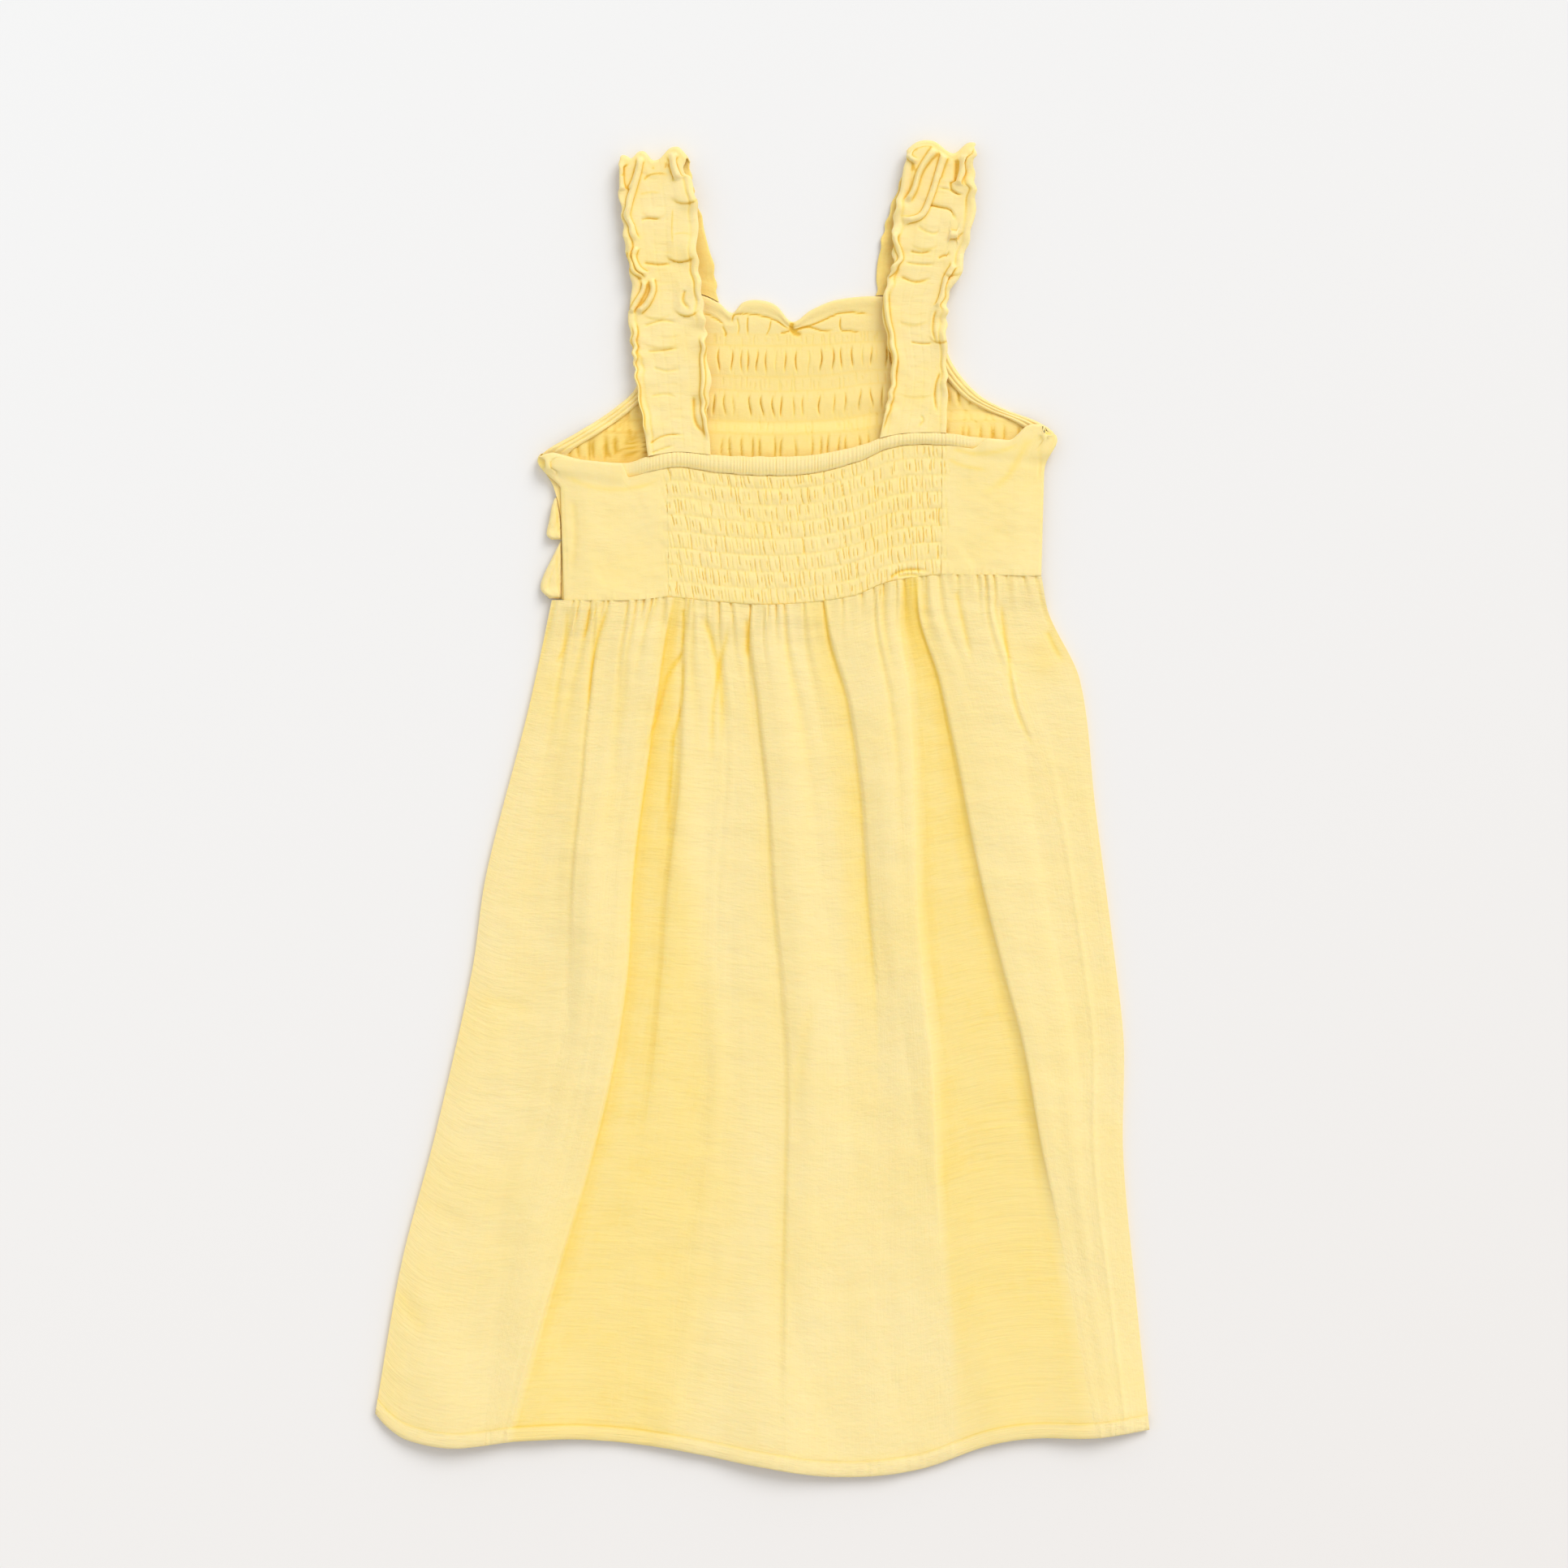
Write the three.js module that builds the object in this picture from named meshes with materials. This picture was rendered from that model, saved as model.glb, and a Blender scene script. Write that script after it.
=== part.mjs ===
// A girl's sleeveless summer dress in cotton double gauze, laid flat with its back upwards.
// Millimetres. +X runs across the dress to the right as it lies, +Y towards the shoulders, and +Z up.
// The origin is on the surface it lies on, under the middle of its outline.
//
// Layers, from the surface up: the front's ruffles, the front bodice and front skirt, then the back
// bodice and back skirt. The straps rise from the front's top edge, fold over at the shoulders and
// come down on top to the elastic casing along the back's top edge.
import * as THREE from "three";

// The rows of a table as objects with named columns.
function table(names, rows) {
  const columns = names.split(" ");
  return rows.map((row) => Object.fromEntries(row.map((value, k) => [columns[k], value])));
}

// Cloth and seams
const CLOTH = 1.6; // wall of the gauze, with the air between its two layers
const SEAM = 0.35; // clearance between pieces that are sewn together
const WAIST_SEAM = 0.5; // and at the waist, where straight runs of the skirt meet the bodice's curve
const HEM_WIDTH = 7.5; // narrow double-turned hem
const HEM_RISE = 0.9; // what its extra layers add
const RUFFLE_LAYER = 2.4; // height that the front's ruffles lift the front bodice by
const BACK_LAYER = 6.0; // height of the back bodice's inside face, in its middle
const BACK_EDGE = 4.4; // the same at the side seams, where it meets the front

// Shirring
const BACK_GATHERS = 44; // across the middle of the back
const BACK_PUFF = 1.7; // how far the cloth puffs up between two rows of elastic
const BACK_ROWS = 7; // rows of elastic thread
const BACK_FIRST_ROW = 0.104; // share of the panel's height above the first row
const BACK_ROW_PITCH = 0.1288; // and from row to row, about 9 mm
const CENTRE_FROM = 0.221; // shares of the back's width between which its middle panel lies
const CENTRE_TO = 0.789;
const BACK_SIDE_SHARE = 0.06; // share of its width in which it comes up from a side seam
const FRONT_GATHERS = 28;
const FRONT_PUFF = 1.4;
const SKIRT_GATHER_RISE = 2.3;

// The skirt's outline: the waist seam, the hem and the two side seams
const WAIST = [
  { x: -109, y: 107.5 },
  { x: -66, y: 107.5 },
  { x: -49, y: 109 },
  { x: -25, y: 106.7 },
  { x: 7, y: 105.2 },
  { x: 45, y: 109.2 },
  { x: 66, y: 117 },
  { x: 94, y: 120.5 },
  { x: 144.3, y: 120 },
];
const HEM = [
  { x: -200.6, y: -313.7 },
  { x: -195, y: -320 },
  { x: -184.6, y: -326.8 },
  { x: -160, y: -331 },
  { x: -126, y: -327.6 },
  { x: -92, y: -326.9 },
  { x: -50, y: -331.4 },
  { x: -4, y: -340.2 },
  { x: 38, y: -346.1 },
  { x: 80, y: -342.7 },
  { x: 118, y: -329.7 },
  { x: 140, y: -326.3 },
  { x: 172, y: -325.9 },
  { x: 200.4, y: -322.1 },
];
const LEFT_SIDE = [
  { y: 107.5, x: -109 },
  { y: 49.6, x: -121.6 },
  { y: -34, x: -143 },
  { y: -85, x: -150.6 },
  { y: -169, x: -169.5 },
  { y: -236, x: -187 },
  { y: -313.7, x: -200.6 },
];
const RIGHT_SIDE = [
  { y: 120, x: 144.3 },
  { y: 100, x: 148.5 },
  { y: 66, x: 164.4 },
  { y: 0, x: 172.4 },
  { y: -85, x: 183.3 },
  { y: -123, x: 187.1 },
  { y: -180, x: 186.8 },
  { y: -253, x: 193.4 },
  { y: -322.1, x: 200.4 },
];

// The skirt's folds, from left to right. Each has a crease line, given as its share of the skirt's width
// at six depths. The cloth on one side of it (1 right, -1 left) stands higher by rise, and falls away
// again over its spread. It fades out where the share of the skirt's length reaches ends.
const DEPTHS = { waist: 0, high: 0.12, upper: 0.25, middle: 0.45, lower: 0.7, hem: 1 };
const FOLDS = table("waist high upper middle lower hem rise side spread ends", [
  [0.105, 0.109, 0.131, 0.151, 0.15, 0.14, 2.8, 1, 22, 0.5],
  [0.245, 0.225, 0.229, 0.237, 0.222, 0.17, 4.6, -1, 48, 1.06],
  [0.277, 0.278, 0.295, 0.294, 0.3, 0.3, 3, 1, 20, 0.72],
  [0.318, 0.34, 0.362, 0.37, 0.38, 0.38, 1.6, -1, 14, 0.3],
  [0.41, 0.416, 0.452, 0.483, 0.517, 0.527, 3, 1, 34, 1.1],
  [0.565, 0.582, 0.612, 0.63, 0.64, 0.645, 3.2, 1, 24, 0.55],
  [0.712, 0.69, 0.698, 0.703, 0.735, 0.75, 2.6, -1, 28, 0.85],
  [0.748, 0.749, 0.782, 0.825, 0.892, 0.93, 5.2, 1, 42, 0.84],
  [0.9, 0.882, 0.925, 0.945, 0.955, 0.965, 2.2, -1, 20, 0.28],
]);
const FOLD_EDGE = 2.2; // half the width of the step at a crease line
const FOLD_RISES = 0.08; // share of the skirt's length in which a fold comes up below the waist
const FOLD_FADES = 0.25; // and in which it dies away at its end
const FOLD_AT_WAIST = 0.3; // how far it has come up at the waist already
const TALLEST = 6.5; // where laps meet, they never pile up higher than this
const COLUMN_PITCH = 5.8; // between the back skirt's columns near its top, where no crease is
const BACK_SKIRT_ROWS = 15;
const FRONT_SKIRT_COLUMNS = 26;
const FRONT_SKIRT_ROWS = 10;
const FRONT_SKIRT_STOPS = 0.984; // the front's hem lies a little higher than the back's
const FRONT_FOLD_SHARE = 0.45; // share of the back's folds that the front follows
const FRONT_RIPPLE = 0.9; // its own soft ripples, how far apart they are and how much of them shows
const FRONT_RIPPLE_PITCH = 9;
const FRONT_RIPPLE_SLANT = 60;
const FRONT_LIES_FROM = 0.7;
const FRONT_HEM_LIFT = 2.4; // how far the hem's waves stand off the surface
const FRONT_SEAM_REACH = 9; // width in which the front comes up from the side seams
const FRONT_WAIST_REACH = 26; // length in which it comes down from its ruffles
const BACK_LOFT = 1.5; // air under the back skirt
const BACK_FOLD_SHARE = 0.55; // share of a fold that is air under it, the rest is cloth that bunches up
const BACK_HEM_LIFT = 1.6;
const BACK_SEAM_REACH = 11;
const BACK_WAIST_REACH = 18;
const WAIST_GATHER_SHARE = 0.9; // share of a gather's height at the waist seam itself
const HEM_WAVE = 26; // the hem's waves, in millimetres for each radian, and where they start
const HEM_WAVE_START = 1.2;

// How far each gather at the waist runs down, in turn
const GATHER_RUNS = [26, 14, 40, 18, 30, 55, 16, 34, 22, 60, 12, 28];

// The front bodice's outline. Its armhole edges slope out from the straps to the side seams.
const FRONT_TOP_LINE = 263;
const FRONT_HEADER = [
  { x: -60, y: 263 },
  { x: -33, y: 266 },
  { x: -22.9, y: 262 },
  { x: -15.8, y: 256.6 },
  { x: -10.3, y: 262 },
  { x: -1.9, y: 263.3 },
  { x: 7, y: 260.5 },
  { x: 15.3, y: 252 },
  { x: 25, y: 258 },
  { x: 38, y: 263.3 },
  { x: 61, y: 265.4 },
  { x: 92.6, y: 263.5 },
];
const FRONT_LEFT = [
  { y: 263, x: -60 },
  { y: 234, x: -62.8 },
  { y: 217.6, x: -65.7 },
  { y: 207, x: -76.7 },
  { y: 194.5, x: -95.6 },
  { y: 184, x: -113 },
  { y: 177, x: -114 },
  { y: 166, x: -108 },
  { y: 146, x: -104 },
  { y: 107.5, x: -104 },
];
const FRONT_RIGHT = [
  { y: 263, x: 92.6 },
  { y: 238.6, x: 95 },
  { y: 226, x: 101 },
  { y: 213.4, x: 112.8 },
  { y: 207, x: 124.5 },
  { y: 200, x: 142 },
  { y: 193.5, x: 151 },
  { y: 186, x: 149 },
  { y: 175.6, x: 144.7 },
  { y: 150, x: 142.8 },
  { y: 120, x: 144.3 },
];
// Rows down the front bodice, as shares of its height, and how far the cloth puffs up there
const FRONT_ROWS = [
  { v: 0, puff: 0.5 },
  { v: 0.035, puff: 0.1 },
  { v: 0.075, puff: 0.5 },
  { v: 0.112, puff: 0 },
  { v: 0.15, puff: 0 },
  { v: 0.202, puff: 1 },
  { v: 0.253, puff: 0 },
  { v: 0.3, puff: 0 },
  { v: 0.349, puff: 1 },
  { v: 0.4, puff: 0 },
  { v: 0.441, puff: 0 },
  { v: 0.493, puff: 0.8 },
  { v: 0.55, puff: 0 },
  { v: 0.78, puff: 0 },
  { v: 1, puff: 0 },
];
const HEADER_DEPTH = 0.11; // share of its height that the scalloped header takes
const FRONT_ON_TABLE = 9; // down to this row the front lies on the surface itself
const FRONT_ON_RUFFLES = 10; // and from this one on, on its ruffles
const BINDING_COLUMNS = 3; // columns of the front's cloth that an armhole binding covers
const BINDING_ROWS = 10;
const BINDING_THICK = 1.4;
const BINDING_RIDGE = 0.4; // how far its middle stands out over its edges

// The ruffles across the outside of the front, of which the left ends stick out past the side seam
const RUFFLES = [
  { name: "front_ruffle_upper", yTop: 184.5, yBottom: 163.8, xTop: -116.5, xBottom: -107, xRight: 143 },
  { name: "front_ruffle_middle", yTop: 163.2, yBottom: 139, xTop: -106, xBottom: -111.8, xRight: 140 },
  { name: "front_ruffle_lower", yTop: 138.4, yBottom: 108.5, xTop: -104.5, xBottom: -115, xRight: 140 },
];
const RUFFLE_WAVES = 9;
const RUFFLE_ROWS = 3;
const RUFFLE_CLOTH = 1.5;
const RUFFLE_WAVE = 0.18; // what each row down adds on a wave's crest

// The elastic casing along the back's top edge: its lower and upper edge, and how thick it puffs
const CASING = [
  { x: -104.8, low: 175.6, high: 181.4, thick: 2.2 },
  { x: -71, low: 170.9, high: 178.5, thick: 2.4 },
  { x: -58.6, low: 173.5, high: 181.8, thick: 4 },
  { x: -43.9, low: 176.4, high: 184, thick: 4.4 },
  { x: -25, low: 174.3, high: 181.9, thick: 4.4 },
  { x: 0, low: 172.6, high: 179.8, thick: 4.4 },
  { x: 25.4, low: 173.5, high: 180.6, thick: 4.4 },
  { x: 50.6, low: 179.8, high: 186.6, thick: 4.4 },
  { x: 63.2, low: 185.3, high: 191.5, thick: 4.4 },
  { x: 75.8, low: 187.7, high: 193.8, thick: 4.4 },
  { x: 94.7, low: 187.5, high: 193.8, thick: 4.2 },
  { x: 109.4, low: 185.6, high: 191.9, thick: 2.8 },
  { x: 134.6, low: 183.1, high: 189.8, thick: 2.2 },
  { x: 146, low: 182.7, high: 189.4, thick: 2.2 },
];
const CASING_RIBS = 32;
const CASING_RIB = 0.3;
const CASING_SIDES = 8;
const CASING_FLAT = 2.4; // up to this thickness the casing lies as low as the bodice's edge
const CASING_FULL = 4; // and from this one on it is puffed up in full

// The straps. Down is the half that lies underneath, from the front's top edge to the shoulder, and
// up is the half on top, from the shoulder to the back's casing.
const STRAPS = [
  {
    name: "strap_left",
    down: [
      { y: 262, x: -41, half: 18 },
      { y: 282, x: -43.6, half: 18 },
      { y: 304, x: -49, half: 18 },
      { y: 322, x: -53.5, half: 17.6 },
      { y: 334, x: -55, half: 17 },
    ],
    up: [
      { y: 334, x: -55, half: 17 },
      { y: 320, x: -54.6, half: 18.6 },
      { y: 300, x: -52.7, half: 18.6 },
      { y: 275, x: -50.6, half: 18.6 },
      { y: 251, x: -48.6, half: 18.6 },
      { y: 215, x: -45.4, half: 18 },
      { y: 183, x: -42.6, half: 16.6 },
    ],
    lobes: [
      { w: -0.95, out: 3 },
      { w: -0.3, out: 5 },
      { w: 0.72, out: 7.5 },
    ],
    wavePhase: 0.1,
  },
  {
    name: "strap_right",
    down: [
      { y: 264, x: 77, half: 18 },
      { y: 288, x: 78.5, half: 18 },
      { y: 308, x: 83.4, half: 18 },
      { y: 326, x: 88, half: 18 },
      { y: 337, x: 92, half: 18 },
    ],
    up: [
      { y: 337, x: 92, half: 18 },
      { y: 322, x: 91.8, half: 18.4 },
      { y: 306, x: 88.6, half: 19 },
      { y: 289, x: 85.2, half: 18.6 },
      { y: 270, x: 80.4, half: 17.6 },
      { y: 243, x: 79.6, half: 16 },
      { y: 212, x: 79, half: 16 },
      { y: 193, x: 78, half: 17 },
    ],
    lobes: [
      { w: -0.42, out: 5.6 },
      { w: 0.85, out: 5.6 },
    ],
    wavePhase: 0.45,
  },
];
const STRAP_CLOTH = 2; // wall of the doubled strap
const STRAP_UPPER = 6.2; // height of the upper half's middle over the surface
const STRAP_AT_CASING = 7.6; // and where it meets the casing
const STRAP_LINES = [-1, -0.74, -0.44, 0, 0.44, 0.74, 1]; // its columns, as shares of its half width
const STRAP_STEP = 4.5; // along its length
const STRAP_BAND = 0.44; // share of the half width that its elastic middle takes
const STRAP_WAVE = 19; // length of one ruffle wave along its edges
const STRAP_WAVE_RISE = 1.9;
const STRAP_WAVE_OUT = 1.5; // and how far a wave moves the edge outwards
const STRAP_RIB = 0.4; // cross ribs of the elastic middle
const STRAP_TURN_STEPS = 6; // round the shoulder fold
const STRAP_STARTS = 14; // length in which its lower end follows the front's scalloped edge
const STRAP_ENDS = 30; // and its upper end the casing
const LOBE_WIDTH = 0.3; // of the peaks at the shoulder fold, as a share of the half width
const OTHER_EDGE = 0.4; // waves along the right edge run this share of a wave behind the left's

const clamp = (t) => Math.min(1, Math.max(0, t));
const smooth = (t) => clamp(t) ** 2 * (3 - 2 * clamp(t));
const mix = (a, b, t) => a + (b - a) * t;
const zigzag = (i) => (i % 2 ? 1 : -1);

// A smooth function through the rows of a table, from one of its columns to another.
function through(rows, from, to) {
  const points = rows.map((row) => [row[from], row[to]]).sort((a, b) => a[0] - b[0]);
  const last = points.length - 1;
  const slopeAt = (i) => {
    const [a, b] = [points[Math.max(0, i - 1)], points[Math.min(last, i + 1)]];
    return (b[1] - a[1]) / (b[0] - a[0]);
  };
  return (t) => {
    let i = 0;
    while (i < last - 1 && t > points[i + 1][0]) i += 1;
    const [[x0, y0], [x1, y1]] = [points[i], points[i + 1]];
    const span = x1 - x0;
    const s = clamp((t - x0) / span);
    const [h0, h1] = [1 - smooth(s), smooth(s)];
    const [g0, g1] = [s * (1 - s) ** 2, -(s ** 2) * (1 - s)];
    return h0 * y0 + h1 * y1 + span * (g0 * slopeAt(i) + g1 * slopeAt(i + 1));
  };
}

// The surface patch between four edge curves that share their corners, for u across and v down.
function patchBetween(top, bottom, left, right) {
  const corners = [top(0), top(1), bottom(0), bottom(1)];
  return (u, v) => {
    const [a, b, c, d] = corners;
    const at = (k) =>
      (1 - v) * top(u)[k] +
      v * bottom(u)[k] +
      (1 - u) * left(v)[k] +
      u * right(v)[k] -
      (1 - u) * (1 - v) * a[k] -
      u * (1 - v) * b[k] -
      (1 - u) * v * c[k] -
      u * v * d[k];
    return { x: at("x"), y: at("y") };
  };
}

// A grid of points, columns[j] across by rows[j] down, as point(u, v, i, j) gives them.
function gridOf(columns, rows, point) {
  return rows.map((v, j) => columns.map((u, i) => point(u, v, i, j)));
}

const raised = (grid, rise) =>
  grid.map((row, j) => row.map((p, i) => new THREE.Vector3(p.x, p.y, p.z + rise(i, j))));

// A closed wall between an upper and a lower grid of the same size. The lower face keeps only
// the rows listed in kept, apart from its rim, so that a plain inside costs few faces.
function wallBetween(upper, lower, kept = lower.map((_, j) => j)) {
  const [nv, nu] = [upper.length, upper[0].length];
  const points = [...upper.flat(), ...lower.flat()];
  const up = (i, j) => j * nu + i;
  const low = (i, j) => nv * nu + j * nu + i;
  const faces = [];
  const quad = (a, b, c, d) => faces.push([a, b, c], [a, c, d]);
  for (let j = 0; j < nv - 1; j += 1)
    for (let i = 0; i < nu - 1; i += 1)
      quad(up(i, j), up(i, j + 1), up(i + 1, j + 1), up(i + 1, j));
  for (let k = 0; k < kept.length - 1; k += 1) {
    const [j0, j1] = [kept[k], kept[k + 1]];
    for (let i = 1; i < nu - 2; i += 1)
      quad(low(i, j0), low(i + 1, j0), low(i + 1, j1), low(i, j1));
    faces.push([low(1, j0), low(1, j1), low(0, j1)]);
    faces.push([low(nu - 2, j0), low(nu - 1, j0), low(nu - 2, j1)]);
    for (let j = j0; j < j1; j += 1) {
      faces.push([low(1, j0), low(0, j + 1), low(0, j)]);
      faces.push([low(nu - 2, j1), low(nu - 1, j), low(nu - 1, j + 1)]);
    }
  }
  for (let i = 0; i < nu - 1; i += 1) {
    quad(up(i, 0), up(i + 1, 0), low(i + 1, 0), low(i, 0));
    quad(up(i + 1, nv - 1), up(i, nv - 1), low(i, nv - 1), low(i + 1, nv - 1));
  }
  for (let j = 0; j < nv - 1; j += 1) {
    quad(up(0, j + 1), up(0, j), low(0, j), low(0, j + 1));
    quad(up(nu - 1, j), up(nu - 1, j + 1), low(nu - 1, j + 1), low(nu - 1, j));
  }
  return geometryOf(points, faces);
}

function geometryOf(points, faces) {
  const geometry = new THREE.BufferGeometry().setFromPoints(points);
  geometry.setIndex(faces.flat());
  geometry.computeVertexNormals();
  return geometry;
}

const steps = (n, from = 0, to = 1) => Array.from({ length: n + 1 }, (_, i) => mix(from, to, i / n));

const gauze = (colour) =>
  new THREE.MeshStandardMaterial({ color: colour, roughness: 0.92, metalness: 0, flatShading: true });
const YELLOW = "#fbe496";
const INSIDE_YELLOW = "#fadf8a";

const dress = new THREE.Group();
dress.name = "smocked_dress";
function addPiece(name, geometry, colour = YELLOW) {
  const piece = new THREE.Mesh(geometry, gauze(colour));
  piece.name = name;
  dress.add(piece);
}

// The skirt
const waistY = through(WAIST, "x", "y");
const hemY = through(HEM, "x", "y");
const leftX = through(LEFT_SIDE, "y", "x");
const rightX = through(RIGHT_SIDE, "y", "x");
const [waistLeft, waistRight] = [WAIST[0], WAIST[WAIST.length - 1]];
const [hemLeft, hemRight] = [HEM[0], HEM[HEM.length - 1]];
const skirtPatch = patchBetween(
  (u) => ({ x: mix(waistLeft.x, waistRight.x, u), y: waistY(mix(waistLeft.x, waistRight.x, u)) }),
  (u) => ({ x: mix(hemLeft.x, hemRight.x, u), y: hemY(mix(hemLeft.x, hemRight.x, u)) }),
  (v) => ({ x: leftX(mix(waistLeft.y, hemLeft.y, v)), y: mix(waistLeft.y, hemLeft.y, v) }),
  (v) => ({ x: rightX(mix(waistRight.y, hemRight.y, v)), y: mix(waistRight.y, hemRight.y, v) }),
);

const skirtWidth = (v) => mix(waistRight.x - waistLeft.x, hemRight.x - hemLeft.x, v);

function creaseLine(fold) {
  const places = Object.entries(DEPTHS).map(([name, v]) => ({ v, u: fold[name] }));
  return through(places, "v", "u");
}
const creases = FOLDS.map((fold) => ({ ...fold, at: creaseLine(fold) }));

function foldHeight(u, v) {
  const sum = creases.reduce((height, { at, rise, side, spread, ends }) => {
    const away = side * (u - at(v)) * skirtWidth(v);
    const step = smooth((away + FOLD_EDGE) / (2 * FOLD_EDGE));
    const fall = 1 - smooth((away - FOLD_EDGE) / spread);
    const along = smooth(FOLD_AT_WAIST + v / FOLD_RISES) * smooth((ends - v) / FOLD_FADES);
    return height + rise * step * fall * along;
  }, 0);
  return TALLEST * Math.tanh(sum / TALLEST);
}

// The lines that the back skirt's columns follow: its side seams, the foot and the crest of each
// crease, and even steps between them. Gathers go up and down in turn.
const edgeShare = (v) => FOLD_EDGE / skirtWidth(v);
const creaseSides = creases.flatMap(({ at, side }) =>
  [-1, 1].map((way) => ({ at: (v) => at(v) + way * edgeShare(v), up: way === side })),
);
const guides = [{ at: () => 0, up: false }, ...creaseSides, { at: () => 1, up: false }];
const skirtLines = guides.flatMap((guide, k) => {
  const next = guides[k + 1];
  if (!next) return [guide];
  const gap = (next.at(DEPTHS.high) - guide.at(DEPTHS.high)) * skirtWidth(DEPTHS.high);
  const parts = Math.max(1, Math.round(gap / COLUMN_PITCH));
  return steps(parts)
    .slice(0, -1)
    .map((t, n) => ({
      at: (v) => mix(guide.at(v), next.at(v), t),
      up: n === 0 ? guide.up : guide.up === (n % 2 === 0),
    }));
});

// How far a point is from the side seams, as a rise from 0 at the seam to 1 well inside.
const insideSeams = (u, v, reach) => 1 - Math.exp((-Math.min(u, 1 - u) * skirtWidth(v)) / reach);

const waistDistance = (x, y) => Math.max(0, waistY(x) - y);
const nearWaist = (x, y, reach) => 1 - smooth(waistDistance(x, y) / reach);
const hemWave = (x) => 0.5 + 0.5 * Math.sin(x / HEM_WAVE + HEM_WAVE_START);
const gatherRun = (i) => GATHER_RUNS[Math.floor(i / 2) % GATHER_RUNS.length];
const gatherAt = (i, x, y) => Math.exp(-waistDistance(x, y) / gatherRun(i));

const frontColumns = steps(FRONT_SKIRT_COLUMNS);
const frontRows = steps(FRONT_SKIRT_ROWS).map((t) => FRONT_SKIRT_STOPS * t ** 1.4);
const frontSkirtUnder = gridOf(frontColumns, frontRows, (u, v, i) => {
  const { x, y } = skirtPatch(u, v);
  const ripple = FRONT_RIPPLE * Math.sin(x / FRONT_RIPPLE_PITCH + y / FRONT_RIPPLE_SLANT);
  const ridge = FRONT_FOLD_SHARE * foldHeight(u, v) + ripple - FRONT_LIES_FROM;
  const hemLift = FRONT_HEM_LIFT * hemWave(x) * smooth((v - 0.8) / 0.18);
  const lying = Math.max(0, (ridge + hemLift) * insideSeams(u, v, FRONT_SEAM_REACH));
  const onRuffles = RUFFLE_LAYER + 0.5 * zigzag(i) * gatherAt(i, x, y);
  return new THREE.Vector3(x, y, Math.max(lying, onRuffles * nearWaist(x, y, FRONT_WAIST_REACH)));
});
const frontSkirtUpper = raised(frontSkirtUnder, () => CLOTH);

// Height of the front skirt's upper face under any point of the skirt.
function frontSkirtTop(u, v) {
  const across = clamp(u) * FRONT_SKIRT_COLUMNS;
  const i = Math.min(FRONT_SKIRT_COLUMNS - 1, Math.floor(across));
  let j = 0;
  while (j < frontRows.length - 2 && v > frontRows[j + 1]) j += 1;
  const down = clamp((v - frontRows[j]) / (frontRows[j + 1] - frontRows[j]));
  const row = (b) => mix(frontSkirtUpper[b][i].z, frontSkirtUpper[b][i + 1].z, across - i);
  return mix(row(j), row(j + 1), down);
}

const hemLine = 1 - HEM_WIDTH / (waistLeft.y - hemLeft.y);
const backRows = [...steps(BACK_SKIRT_ROWS).map((t) => hemLine * t ** 1.35), hemLine + 0.002, 1];
const backSkirtUnder = backRows.map((v) =>
  skirtLines.map(({ at, up }, i) => {
    const u = at(v);
    const { x, y } = skirtPatch(u, v);
    const inside = insideSeams(u, v, BACK_SEAM_REACH);
    const hemLift = BACK_HEM_LIFT * hemWave(x) * smooth((v - 0.75) / 0.25);
    const loft = (BACK_LOFT + BACK_FOLD_SHARE * foldHeight(u, v) + hemLift) * inside;
    const gather = up ? SKIRT_GATHER_RISE * inside * gatherAt(i, x, y) : 0;
    const lying = frontSkirtTop(u, v) + SEAM + loft + gather;
    const atWaist = mix(BACK_EDGE, BACK_LAYER, inside) + WAIST_GATHER_SHARE * gather;
    const z = mix(lying, Math.max(lying, atWaist), nearWaist(x, y, BACK_WAIST_REACH));
    return new THREE.Vector3(x, y, z);
  }),
);
const backSkirtUpper = raised(backSkirtUnder, (i, j) => CLOTH + (j >= backRows.length - 2 ? HEM_RISE : 0));

// The front bodice, shirred in puffed bands, with its inside face upwards
const frontLeftX = through(FRONT_LEFT, "y", "x");
const frontRightX = through(FRONT_RIGHT, "y", "x");
const headerY = through(FRONT_HEADER, "x", "y");
const [frontTopLeft, frontTopRight] = [FRONT_LEFT[0], FRONT_RIGHT[0]];
const [frontFootLeft, frontFootRight] = [FRONT_LEFT[FRONT_LEFT.length - 1], waistRight];
// An armhole edge of the front: x follows its own line, and y stops at the waist seam.
const frontEdge = (lineX, foot) => (v) => ({
  x: lineX(mix(FRONT_TOP_LINE, foot.y, v)),
  y: mix(FRONT_TOP_LINE, waistY(foot.x) + WAIST_SEAM, v),
});
const frontPatch = patchBetween(
  (u) => ({ x: mix(frontTopLeft.x, frontTopRight.x, u), y: FRONT_TOP_LINE }),
  (u) => {
    const x = mix(frontFootLeft.x, frontFootRight.x, u);
    return { x, y: waistY(x) + WAIST_SEAM };
  },
  frontEdge(frontLeftX, frontFootLeft),
  frontEdge(frontRightX, frontFootRight),
);
const gatheredColumns = steps(2 * FRONT_GATHERS - 4, 0.062, 0.938);
const frontBodiceColumns = [0, 0.022, 0.045, ...gatheredColumns, 0.955, 0.978, 1];
const frontBodiceRows = FRONT_ROWS.map((row) => row.v);
const frontBodiceUnder = gridOf(frontBodiceColumns, frontBodiceRows, (u, v, i, j) => {
  const { x, y } = frontPatch(u, v);
  const header = (headerY(x) - FRONT_TOP_LINE) * (1 - smooth(v / HEADER_DEPTH));
  const z = j <= FRONT_ON_TABLE ? 0 : RUFFLE_LAYER;
  return new THREE.Vector3(x, y + header, z);
});
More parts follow.
